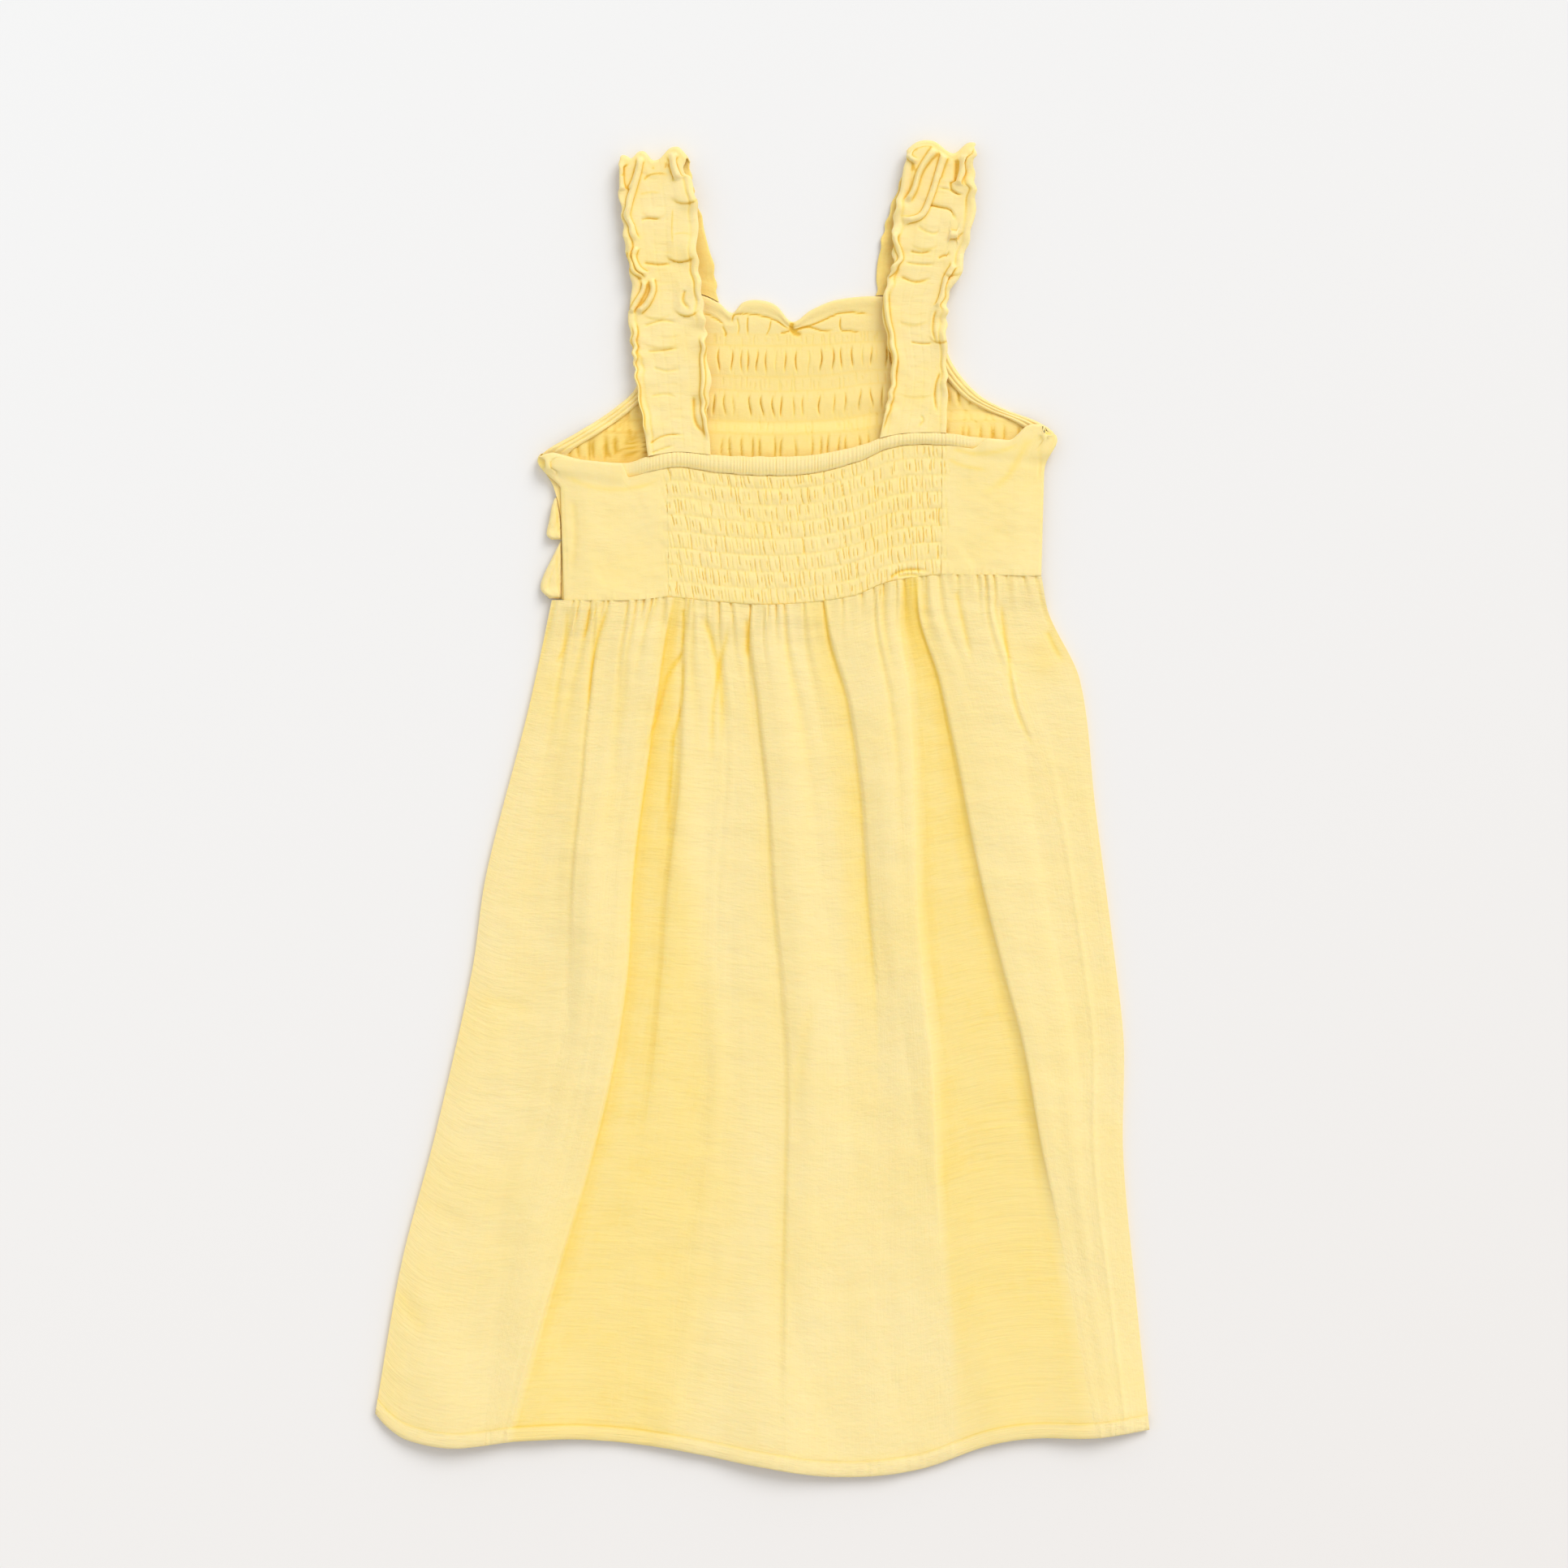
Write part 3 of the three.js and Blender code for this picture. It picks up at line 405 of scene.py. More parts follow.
FRONT_STOPS = 0.984  # the share of the back's length at which the front's hem lies
FRONT_GATHERS = 26
FRONT_FOLDS, BACK_FOLDS = 0.45, 0.55  # how the two layers share the height of the folds
FRONT_HEM_LIFT, BACK_HEM_LIFT = 2.4, 1.6
LOFT = 1.5  # air between the two layers
SKIRT_CUT = (440, 440)
BACK_SKIRT_CUT = (440, 445)


def front_skirt_under(u, v):
    """Where the underside of the front skirt lies, down on the surface and up under the bodice."""
    x, y = skirt_patch(u, v)
    ridge = FRONT_FOLDS * fold_height(u, v)[0] + 0.9 * np.sin(x / 9 + y / 60) - 0.7
    hem_lift = FRONT_HEM_LIFT * hem_wave(x) * smooth((v - 0.8) / 0.18)
    lying = np.maximum(0, (ridge + hem_lift) * inside_seams(u, v, 9))
    from_waist = np.maximum(0, waist_y(x) - y)
    gather = 0.5 * np.sin(u * 2 * np.pi * FRONT_GATHERS) * np.exp(-from_waist / 24)
    return x, y, np.maximum(lying, (RUFFLE_LAYER + gather) * (1 - smooth(from_waist / 26)))


def front_skirt():
    """The front skirt, plain on its hidden face."""
    u = steps(120)[None, :]
    v = FRONT_STOPS * (steps(90) ** 1.15)[:, None]
    x, y, z = front_skirt_under(u, v)
    return cloth("front_skirt_cloth", stack(x, y, z + CLOTH), stack(x, y, z), SKIRT_CUT, 0.5)


# The back skirt. Each crease has its line, its half width and its height.

SMALL_CREASES = [
    ([(-146.8, -99.3), (-131, -101), (-115.3, -107.7)], 3.0, -0.5),
    ([(-177.5, -204.3), (-163, -210), (-146.8, -220.3)], 3.0, -0.5),
    ([(-188, -248.4), (-182, -262), (-172, -274.5)], 3.5, -0.8),
    ([(25.4, -98.5), (20, -130), (15.8, -159.5)], 3.0, -0.6),
    ([(-31, 101), (-25, 82), (-21, 60), (-21, 28)], 1.6, -1.0),
    ([(-8.2, 98.9), (-8, 88), (-8.2, 76)], 1.2, -1.1),
    ([(100, 113), (103, 99), (109, 72)], 1.4, -0.9),
    ([(123, 108), (126, 84), (131, 52), (143, 26)], 1.1, -1.0),
    ([(-39, 83), (-49, 68.5), (-56, 46), (-64.5, 24.5)], 1.1, -1.3),
    ([(-40.3, 80), (-41.7, 54.4), (-47.4, 25.8), (-48.9, -31)], 1.0, -1.0),
    ([(-100.3, 104), (-103.1, 83), (-107.4, 74)], 1.0, -1.1),
    ([(-88.8, 104), (-90.6, 94), (-93.1, 86)], 1.0, -1.1),
    ([(-80.3, 104), (-87.4, 74.4), (-90.3, 46)], 1.1, -1.2),
    ([(-41, 104), (-40.5, 92), (-41.5, 78)], 0.9, -1.1),
    ([(-17, 96), (-25, 58), (-26.6, 17)], 1.4, -0.9),
    ([(147.2, 92.6), (151, 84), (157.3, 73.7)], 1.6, -0.9),
    ([(-60, 60), (-62, 30), (-65, -5)], 5.0, -0.5),
    ([(52, 20), (58, -60), (66, -130)], 6.0, -0.5),
    ([(10, -200), (13, -250), (12, -300)], 6.0, -0.6),
    ([(-120, -150), (-128, -200), (-140, -260)], 7.0, -0.5),
    ([(150, -120), (158, -190), (163, -250)], 7.0, -0.5),
]
SOFT_FOLDS = 34
SKIRT_CRINKLES = table("seed wide tall rise", [
    (3, 26, 16, 0.3), (5, 11, 4, 0.17), (6, 6, 1.8, 0.1), (9, 24, 4.5, 0.16),
])
# Shaded places beside the side seams, under the waist
SIDE_SHADES = table("x y wide tall", [(146, 78, 9, 16), (-108, 58, 9, 18)])


def fine_lanes():
    """Columns close together at each crease, and wider apart between creases."""
    width = skirt_width(0.0)
    edges = [0.0] + [fold["waist"] for fold in FOLDS] + [1.0]
    close, apart, near_crease = 0.6, 1.02, 3.0
    lanes = [0.0]
    for left, right in zip(edges[:-1], edges[1:]):
        gap, place = (right - left) * width, 0.0
        while place < gap - close / 2:
            near = min(place if left > 0 else gap, gap - place if right < 1 else gap)
            place += close if near < near_crease else apart
            lanes.append(left + min(place, gap) / width)
        lanes[-1] = right
    return np.array(lanes)


def waist_gathers(lane, from_waist):
    """Valleys that run down from the waist seam, with soft ridges between them, and the painted shade in the
    valleys.
    """
    draw = np.random.default_rng(7)
    width = skirt_width(0.0)
    height, painted_shade = np.zeros(lane.shape), np.zeros(lane.shape)
    place = 1.5
    while place < width - 2:
        half = draw.uniform(0.45, 0.9)
        run = draw.choice([7, 13, 22, 36, 60, 95], p=[0.2, 0.24, 0.22, 0.16, 0.12, 0.06])
        drop = draw.uniform(0.7, 1.7)
        drift = draw.uniform(-0.08, 0.08) * from_waist + 0.4 * np.sin(from_waist / draw.uniform(6, 14))
        spread = half * (1 + from_waist / 26)
        away = lane * width - place - drift
        along = np.exp(-((from_waist / run) ** 1.4))
        valley = along * hump(away / spread)
        height += 0.8 * along * hump((away - 2.2 * spread) / (1.8 * spread)) - drop * valley
        painted_shade += valley * drop * 0.36
        place += draw.choice([2.4, 4.2, 6.5, 10.0], p=[0.3, 0.3, 0.25, 0.15])
    return height, painted_shade


def soft_folds(lane, v):
    """Long low folds and hollows that follow the cloth down from the waist."""
    draw = np.random.default_rng(11)
    width = skirt_width(0.0)
    total = np.zeros(lane.shape)
    for _ in range(SOFT_FOLDS):
        place = draw.uniform(0, width) + 3 * wander(draw.integers(999), v, 0.5)
        half = draw.uniform(1.6, 9)
        start, end = draw.uniform(-0.2, 0.35), draw.uniform(0.45, 1.3)
        rise = draw.uniform(0.2, 0.6) * draw.choice([-1, 1], p=[0.45, 0.55])
        fade = between(v, start, end, 0.2, 0.3)
        total = total + rise * fade * hump((lane * width - place) / half)
    return total


# How wide the broad hollow right of the second fold is, over which painted shade is laid
LEFT_HOLLOW = through(table("v wide", [
    (0, 7), (0.12, 14), (0.3, 34), (0.5, 58), (0.75, 92), (1, 105),
]), "v", "wide")


def broad_hollow_shade(u, v):
    """How much painted shade a place gets in the skirt's broad hollows."""
    width = skirt_width(v)
    right_of_second = (u - FOLDS[1]["at"](v)) * width
    open_to = LEFT_HOLLOW(v)
    far_side = smooth((right_of_second - 0.45 * open_to) / (0.6 * open_to))
    first = smooth(right_of_second / 2.5) * (1 - far_side)
    from_left, from_right = (u - FOLDS[6]["at"](v)) * width, (FOLDS[7]["at"](v) - u) * width
    second = smooth(from_left / 6) * smooth((from_right + 1) / 2.5) * (1 - 0.6 * smooth((v - 0.8) / 0.2))
    left_of_sixth = (FOLDS[5]["at"](v) - u) * width
    third = smooth(left_of_sixth / 2) * (1 - smooth((left_of_sixth - 9) / 9)) * smooth((0.75 - v) / 0.5)
    return 0.42 * first + 0.45 * second + 0.3 * third


def back_skirt():
    """The back skirt, which lies on the front's folds and meets them at the side seams."""
    lanes = fine_lanes()
    hem_line = 1 - HEM_WIDTH / (WAIST[0]["y"] - HEM[0]["y"])
    body_rows = hem_line * steps(150) ** 1.3
    seam_rows = hem_line + np.array([-0.0016, 0, 0.0009])
    v = np.concatenate([body_rows[:-1], seam_rows, np.linspace(hem_line + 0.003, 1, 7)])[:, None]
    u = lane_grid(lanes, v[:, 0])
    lane = np.broadcast_to(lanes[None, :], u.shape)
    x, y = skirt_patch(u, v)
    folds, lean, painted_shade = fold_height(u, v)
    inside, close_inside = inside_seams(u, v, 11), inside_seams(u, v, 4)
    from_waist = np.maximum(0, waist_y(x) - y)
    front_top = front_skirt_under(u, np.minimum(v, FRONT_STOPS))[2] + CLOTH
    hem_lift = BACK_HEM_LIFT * hem_wave(x) * smooth((v - 0.75) / 0.25)
    loft = (LOFT + BACK_FOLDS * folds + hem_lift) * inside
    gathered, gather_painted_shade = waist_gathers(lane, from_waist)
    creased, _, _, crease_painted_shade = rolls(x, y, SMALL_CREASES)
    crinkle = sum(row["rise"] * grain(row["seed"], x, y, row["wide"], row["tall"]) for row in SKIRT_CRINKLES)
    detail = gathered + soft_folds(lane, v) + creased + crinkle
    lying = front_top + SEAM + loft + np.maximum(-1.6, detail) * close_inside
    at_waist = mix(BACK_EDGE, BACK_LAYER, inside) + (detail + 0.2) * close_inside
    under = mix(lying, np.maximum(lying, at_waist), 1 - smooth(from_waist / 18))
    pucker = 0.2 * wander(21, x, 3.0) + 0.12 * wander(22, x, 1.7)
    in_hem = smooth((v - hem_line) / 0.002)
    stitch_dip = 0.5 * hump((v - hem_line - 0.0035) / 0.0016)
    thick = BARE + in_hem * (HEM_RISE + pucker - stitch_dip)
    roll = 0.9 * smooth((v - 0.9965) / 0.0035)
    lean = lean * close_inside * smooth(from_waist / 7)
    inner = stack(x + 0.8 * lean, y, under)
    outer = stack(x + lean, y, under + thick - roll)
    # Painted shade on the outer face: the broad hollows, the shaded places by the side seams, the feet of the
    # folds, the gathers, the creases and a darker line along the hem's fold, a little lighter on the hem,
    # with some random tone
    tone_and_shade = np.minimum(0.52, 0.16 + broad_hollow_shade(u, v) + 0.09 * grain(8, x, y, 60, 50)) - 0.1 * in_hem
    for shade in SIDE_SHADES:
        tone_and_shade = tone_and_shade + 0.25 * hump((x - shade["x"]) / shade["wide"]) * hump((y - shade["y"]) / shade["tall"])
    tone_and_shade = tone_and_shade + painted_shade + gather_painted_shade + 0.55 * crease_painted_shade + 0.4 * hump((v - hem_line) / 0.0015)
    return cloth("back_skirt_cloth", outer, inner, BACK_SKIRT_CUT, tone_and_shade)


# The elastic casing along the back's top edge

CASING = table("x low high thick", [
    (-104.8, 175.6, 181.4, 2.2), (-71, 170.9, 178.5, 2.4), (-58.6, 173.5, 181.8, 3.5),
    (-43.9, 176.2, 184, 3.8), (-25, 173.6, 182.4, 3.8), (0, 171.8, 181.6, 3.8),
    (25.4, 172.9, 182.4, 3.8), (50.6, 179.4, 187.4, 3.8), (63.2, 185.1, 191.8, 3.8),
    (75.8, 187.7, 193.8, 3.8), (94.7, 187.5, 193.8, 3.7), (109.4, 185.6, 191.9, 2.8),
    (134.6, 183.1, 189.8, 2.2), (146, 182.7, 189.4, 2.2),
])
casing_low = through(CASING, "x", "low")
casing_high = through(CASING, "x", "high")
casing_thick = through(CASING, "x", "thick")
CASING_THIN, CASING_FULL = 2.4, 1.2  # thickness where the elastic begins, and what it adds
CASING_RIBS = 1.75  # spacing of the gathers on the elastic
CASING_TAKE_UP = 1.8  # length of the flat strip to each length of casing
CASING_GIRTH = 26


def casing_full(x):
    """How far the casing is round: 1 where the elastic fills it and 0 at its flat ends."""
    return smooth((casing_thick(x) - CASING_THIN) / CASING_FULL)


def casing_base(x):
    """Height of the casing's underside, lower where it is flat."""
    return mix(BACK_EDGE + 0.2, BACK_LAYER - 0.1, casing_full(x))


def casing():
    """The round casing, ribbed where the elastic gathers it and flat towards its two ends."""
    length = CASING[-1]["x"] - CASING[0]["x"] - 1.0
    x = CASING[0]["x"] + 0.5 + length * steps(640)
    turn = (2 * np.pi * steps(22))[None, :]
    low, high, thick = casing_low(x), casing_high(x), casing_thick(x)
    full = casing_full(x)[:, None]
    rib = np.abs(np.sin(np.pi * (x / CASING_RIBS + 0.9 * wander(61, x, 14)))) ** 0.6
    rib = (rib - 0.7) * (0.7 + 0.4 * wander(64, x, 7))
    swell = 0.2 * wander(62, x, 24)
    reach = ((high - low) / 2)[:, None] * (1 + 0.05 * full * (rib[:, None] + wander(63, x, 9)[:, None]))
    top = np.maximum(0, np.sin(turn))
    seam_line = 0.35 * hump((np.cos(turn) + 0.62) / 0.16) * top
    raised = (0.85 * rib + swell)[:, None] * full * top - seam_line * full
    y = ((low + high) / 2)[:, None] + reach * np.cos(turn)
    z = (casing_base(x) + thick / 2)[:, None] + (thick / 2)[:, None] * np.sin(turn) + raised
    # Painted shade in the valleys between the ribs, on the underside and along the seam line
    painted_shade = 0.02 + 0.3 * np.maximum(0, -rib[:, None]) + 0.15 * (1 - top) + seam_line
    return tube("casing_roll", stack(x[:, None], y, z), (length * CASING_TAKE_UP, CASING_GIRTH), painted_shade)


def tube(name, rings, cut, painted_shade):
    """A closed roll through rings of points, each of which ends where it began."""
    piece = grid_mesh(name, rings[::-1], cut)
    shade_in_hollows = clamp(np.broadcast_to(painted_shade, rings.shape[:2])).ravel()
    piece.data.attributes.new("PaintedShade", "FLOAT", "POINT").data.foreach_set("value", shade_in_hollows)
    bpy.ops.object.mode_set(mode="EDIT")
    bpy.ops.mesh.select_all(action="SELECT")
    bpy.ops.mesh.remove_doubles(threshold=1e-6)
    bpy.ops.mesh.select_all(action="DESELECT")
    bpy.ops.mesh.select_non_manifold()
    bpy.ops.mesh.fill_holes(sides=0)
    bpy.ops.object.mode_set(mode="OBJECT")
    finish_mesh(ROLL_SMOOTH)
    return piece


# The back bodice: its middle is gathered on rows of elastic, and its sides are plain

CENTRE_FROM, CENTRE_TO = 0.221, 0.789  # shares of its width
BACK_FIRST_ROW, BACK_ROW_PITCH = 0.104, 0.1288  # shares of its length
BACK_ROWS = 7
BACK_PUFF = 1.5  # how far it stands up between two rows
BACK_SLANT = 1.5  # how far a gather leans over a band
BACK_FOOT = -103
BACK_LENGTH = 70
BACK_WIDTH = CASING[-1]["x"] - CASING[0]["x"]

back_patch = patch(
    across(casing_low, CASING[0]["x"], CASING[-1]["x"], -CLOSED),
    across(waist_y, BACK_FOOT, WAIST[-1]["x"], CLOSED),
    lambda v: (mix(CASING[0]["x"], BACK_FOOT, v),
               mix(CASING[0]["low"], float(waist_y(BACK_FOOT)), v)),
    lambda v: (mix(CASING[-1]["x"], WAIST[-1]["x"], v),
               mix(CASING[-1]["low"], WAIST[-1]["y"], v)),
)

SIDE_ROLLS = [
    ([(-104, 172.5), (-90, 166.5), (-75, 164.6), (-60, 167), (-50, 172)], 1.3, -0.8),
    ([(97, 186), (111, 183), (126, 185.2), (134.6, 189.6)], 1.2, -1.0),
    ([(94.9, 180.8), (105.2, 176.4), (119.9, 174.2)], 1.1, -0.85),
    ([(100, 170), (120, 160), (138, 158)], 5.0, -0.5),
    ([(137.5, 192), (133.1, 182.3), (125.8, 170.5), (112, 161)], 2.0, -1.2),
    ([(143.5, 194.5), (147, 190.5)], 5.5, 1.1),
    ([(-111, 180.5), (-111, 175)], 4.8, 0.9),
    ([(-108.3, 181.6), (-106.3, 178.3), (-106.5, 175), (-106, 169.5)], 0.6, -0.8),
    ([(-103.4, 168), (-102.6, 150), (-101.6, 130), (-101.4, 112)], 0.6, -0.25),
    ([(142, 190), (143.6, 180), (142.5, 168)], 0.8, -0.5),
    ([(-98, 160), (-97, 140), (-99, 118)], 1.8, -0.5),
    ([(-86, 118), (-70, 128), (-58, 146)], 7.0, -0.6),
    ([(104, 128), (118, 138), (132, 144)], 7.0, -0.6),
    ([(-60, 158), (-75, 150), (-90, 150)], 6.0, -0.4),
]
# Small tucks that the waist seam has caught in the shirring
WAIST_TUCKS = [
    ([(65.5, 118.6), (69, 121.2), (73, 122.8), (80, 123.2), (88, 121.8)], 0.8, -1.5),
    ([(70, 119.6), (76, 120.6), (83, 120)], 0.7, -0.8),
]


def band_row(v):
    """The number of the band between two rows of elastic at share v down, with its share within."""
    first = v / BACK_FIRST_ROW
    middle = (v - BACK_FIRST_ROW) / BACK_ROW_PITCH + 1
    last = 1 - BACK_FIRST_ROW - (BACK_ROWS - 1) * BACK_ROW_PITCH
    below = BACK_ROWS + (v - 1 + last) / last
    return np.minimum(np.where(v < BACK_FIRST_ROW, first, np.where(middle < BACK_ROWS, middle, below)),
                      BACK_ROWS + 0.999)


def corner_lobes(x, y, u, v):
    """Folds the two upper corners out over the front's corners."""
    left = 1 - smooth(u * BACK_WIDTH / 12)
    right = smooth((x - 127) / 12) * (1 - 0.25 * smooth((x - 141) / 5))
    out = 6.5 * smooth((x - 135) / 10) * hump((v - 0.05) / 0.05)
    out = out - 11.5 * left * smooth((v + 0.02) / 0.05) * (1 - smooth((v - 0.03) / 0.12))
    return x + out, y + 2.5 * left * (1 - smooth(v / 0.08)) + 9 * right * (1 - smooth(v / 0.2))


def back_bodice(name, low, high, columns, rows, cut):
    """The stretch of the back bodice between shares low and high of its width. Where it is
    shirred it is puffed between the rows of elastic, and elsewhere it has soft wrinkles."""
    u = steps(columns, low, high)[None, :]
    v = steps(rows)[:, None]
    x, y = back_patch(u, v)
    cover = np.maximum(smooth((-69 - x) / 4), smooth((x - 108) / 9))
    rim = casing_high(x) - casing_low(x) - 0.1
    x, y = corner_lobes(x, y + cover * rim * (1 - smooth(v / 0.15)), u, v)
    place, row = u * BACK_WIDTH, band_row(v)
    left = place - CENTRE_FROM * BACK_WIDTH + 1.5 * wander(41, row * 7, 9)
    right = CENTRE_TO * BACK_WIDTH - place + 1.5 * wander(42, row * 7, 9)
    shirred = smooth((np.minimum(left, right) + 5) / 6)
    arch = np.sin(np.pi * (row - np.floor(row))) ** 0.5
    slanted = place - BACK_SLANT * (row - np.floor(row) - 0.5) * (1.2 - u)
    valley = gathers(40, slanted, row, BACK_ROWS + 1, 1.9, 0.24, 0.1)
    billow = 0.62 + 0.38 * grain(43, place, row * 9, 4.5, 8)
    puff = BACK_PUFF * (0.3 + 0.7 * arch * billow) - 1.15 * valley * (0.35 + 0.65 * arch)
    tick = 0.35 * (1 - arch) ** 2 * np.sin(place * 2 * np.pi / 2.5 + 2 * wander(44, place, 30))
    rolled, move_x, move_y, roll_painted_shade = rolls(x, y, SIDE_ROLLS)
    plain = 0.85 + 0.4 * grain(45, x, y, 22, 18) + 0.14 * grain(46, x, y, 7, 3.5) + rolled
    tucked, _, _, tuck_painted_shade = rolls(x, y, WAIST_TUCKS)
    relief = mix(plain, puff + tick * 0.5 - 0.2, shirred) + tucked
    y = y + move_y * (1 - shirred)
    over = cover * smooth((y - casing_low(x) + 5) / 6)
    base = mix(BACK_EDGE, BACK_LAYER, smooth(np.minimum(u, 1 - u) / 0.06))
    base = mix(base, np.maximum(base, casing_base(x) + casing_thick(x) + 0.12), over)
    side = np.minimum(u, 1 - u) * BACK_WIDTH
    from_waist = (1 - v) * BACK_LENGTH
    rim_edge = 0.3 + 0.7 * round_over(v * BACK_LENGTH / 1.3)
    edge = 0.4 + 0.6 * round_over(side / 2.2)
    foot = 0.93 + 0.07 * round_over(from_waist / 1.6)
    seam_pucker = 0.3 * hump(from_waist / 3) * grain(47, place, 0, 2.2, 9)
    thick = (BARE + relief + seam_pucker) * mix(1, rim_edge, cover) * edge * foot
    thick = np.maximum(thick, 0.5)
    outer = stack(x + move_x * (1 - shirred), y, base + thick)
    # Painted shade: in the rolls and the valleys between the puffs, at the rows of elastic, in the tucks, at
    # the side edges and at the waist seam, with some random tone
    painted_shade = mix(0.16 + 0.45 * roll_painted_shade, 0.18 + 0.75 * valley + 0.3 * (1 - arch) ** 2, shirred)
    painted_shade = painted_shade + 0.7 * tuck_painted_shade + 0.15 * hump(side) + 0.04 * hump(from_waist / 0.8)
    painted_shade = painted_shade + 0.05 * grain(48, x, y, 30, 24)
    return cloth(name, outer, stack(x, y, base), cut, painted_shade)


# The front bodice, its inside face up, gathered in puffed bands

FRONT_TOP_LINE = 263
FRONT_HEADER = table("x y", [
    (-60, 263), (-33, 266), (-22.9, 262), (-15.8, 256.6), (-10.3, 262), (-1.9, 263.3), (7, 260.5),
    (15.3, 252), (25, 258), (38, 263.3), (61, 265.4), (92.6, 263.5),
])
FRONT_LEFT = table("y x", [
    (263, -60), (234, -62.8), (217.6, -65.7), (207, -76.7), (194.5, -95.6), (184, -113),
    (177, -114), (166, -108), (146, -104), (107.5, -104),
])
FRONT_RIGHT = table("y x", [
    (263, 92.6), (238.6, 95), (226, 101), (213.4, 112.8), (207, 124.5), (200, 142),
    (193.5, 151), (186, 149), (175.6, 144.7), (150, 142.8), (120, 144.3),
])
# How full the front is at shares of its length, and where its bands begin and end
FRONT_ROWS = table("v puff", [
    (0, 0.5), (0.035, 0.1), (0.075, 0.5), (0.112, 0), (0.15, 0), (0.202, 1), (0.253, 0), (0.3, 0),
    (0.349, 1), (0.4, 0), (0.441, 0), (0.493, 0.8), (0.55, 0), (0.78, 0), (1, 0),
])
FRONT_BANDS = [0, 0.112, 0.15, 0.253, 0.3, 0.4, 0.441, 0.55, 1.001]
FRONT_ON_TABLE, FRONT_ON_RUFFLES = 0.4, 0.441  # where it climbs onto its ruffles
NECK_LEFT, NECK_RIGHT = -30, 61  # what shows between the straps
ARMHOLE_LEFT, ARMHOLE_RIGHT = -62, 92  # and outside them
FRONT_PUFF = 1.0
FRONT_LENGTH = 150
FRONT_CUT = (430, 170)
header_y = through(FRONT_HEADER, "x", "y")
front_left = through(FRONT_LEFT, "y", "x")
front_patch = patch(
    lambda u: (mix(FRONT_LEFT[0]["x"], FRONT_RIGHT[0]["x"], u), FRONT_TOP_LINE),
    across(waist_y, FRONT_LEFT[-1]["x"], WAIST[-1]["x"], 0.5),
    down_along(front_left, FRONT_TOP_LINE, float(waist_y(FRONT_LEFT[-1]["x"])) + 0.5),
    down_along(through(FRONT_RIGHT, "y", "x"), FRONT_TOP_LINE, WAIST[-1]["y"] + 0.5),
)
FRONT_CREASES = [
    ([(-31, 257), (-24, 253.5), (-19.5, 250)], 0.45, -0.9),
    ([(-16, 251), (-14.1, 255.6), (-3.6, 255.6), (6, 253), (11.1, 249.7), (15, 247)], 0.45, -1.0),
    ([(16.2, 247.2), (27.5, 251), (40.1, 256.4), (50, 256.6), (58.5, 255.4)], 0.45, -1.0),
    ([(14, 246.4), (22.5, 249.3), (31.7, 247.2), (38, 247.8)], 0.5, -0.9),
    ([(40.3, 255), (40.6, 248), (46, 247.2), (52, 246.4)], 0.45, -0.8),
    ([(15.6, 252), (15, 248.5), (17.5, 246), (21, 245.4)], 1.2, -1.4),
    ([(-13.4, 254.5), (-12.2, 249), (-13, 244.4)], 0.4, -0.6),
    ([(-7.6, 255), (-7.9, 250), (-7.5, 244.4)], 0.4, -0.8),
    ([(4.4, 253), (3.4, 248), (1.5, 244.4)], 0.4, -0.7),
    ([(9, 246), (12, 246.6), (14.5, 247.4)], 0.5, -0.8),
    ([(-21, 250), (-19, 246), (-20, 244)], 0.5, -0.7),
    ([(-76.7, 191.5), (-76.3, 187), (-74.4, 182)], 0.8, -0.35),
    ([(-68.9, 196.6), (-68.2, 191.5), (-65.6, 186)], 0.8, -0.35),
    ([(-82.4, 188), (-80.3, 184.1), (-78, 180.5)], 0.8, -0.35),
]

# The strongest creases in the upper two puffed bands, as they show through the neck
PUFF_LINES = {
    2: table("x bend strong", [
        (-22.6, 0.5, 1), (-16.1, -0.5, 0.9), (-10.9, 0.3, 0.7), (-7.6, 0.3, 0.8), (-3.1, -0.6, 0.8),
        (1.8, 0.3, 0.7), (7, 0.3, 0.3), (11.8, 0.3, 0.7), (17.3, -0.4, 0.8), (24, 0.4, 0.35),
        (30.3, 0.6, 1), (36.6, 0.5, 0.9), (40.7, 0.3, 0.8), (46.5, 0.4, 0.9), (52, 0.3, 0.4),
        (56.4, 0.3, 0.7),
    ]),
    4: table("x bend strong", [
        (-25.2, 0.3, 1), (-19.8, -0.6, 0.8), (-15.1, 0.4, 0.5), (-6.7, -0.5, 1), (-0.5, -0.7, 1),
        (5.3, -0.6, 0.9), (9.5, -0.3, 0.9), (16.2, 0.3, 0.6), (20.9, 0.3, 0.6), (29.3, -0.6, 0.8),
        (37.1, 0.3, 0.6), (42.8, 0.4, 0.7), (50.6, 0.5, 0.8), (56.4, -0.6, 0.8),
    ]),
}
PUFF_LINE_HALF = 0.4


def puff_lines(x, row):
    """The valleys of PUFF_LINES, which wind a little from the top of their band to its foot."""
    valley = np.zeros(np.broadcast(x, row).shape)
    for band, lines in PUFF_LINES.items():
        within = row - band
        length = between(within, 0.04, 0.94, 0.2, 0.2)
        for line in lines:
            winding = np.sin(2 * np.pi * within + line["x"]) - 0.6 * within
            away = (x - line["x"] - line["bend"] * winding) / PUFF_LINE_HALF
            valley = np.maximum(valley, line["strong"] * length * np.exp(-np.abs(away) ** 1.5))
    return valley


def front_place(u, v):
    """The place on the front bodice at shares u across and v down, and its height over the surface."""
    x, y = front_patch(u, v)
    header = (header_y(x) - FRONT_TOP_LINE) * (1 - smooth(v / 0.11))
    lift = RUFFLE_LAYER * smooth((v - FRONT_ON_TABLE) / (FRONT_ON_RUFFLES - FRONT_ON_TABLE))
    return x, y + header, lift


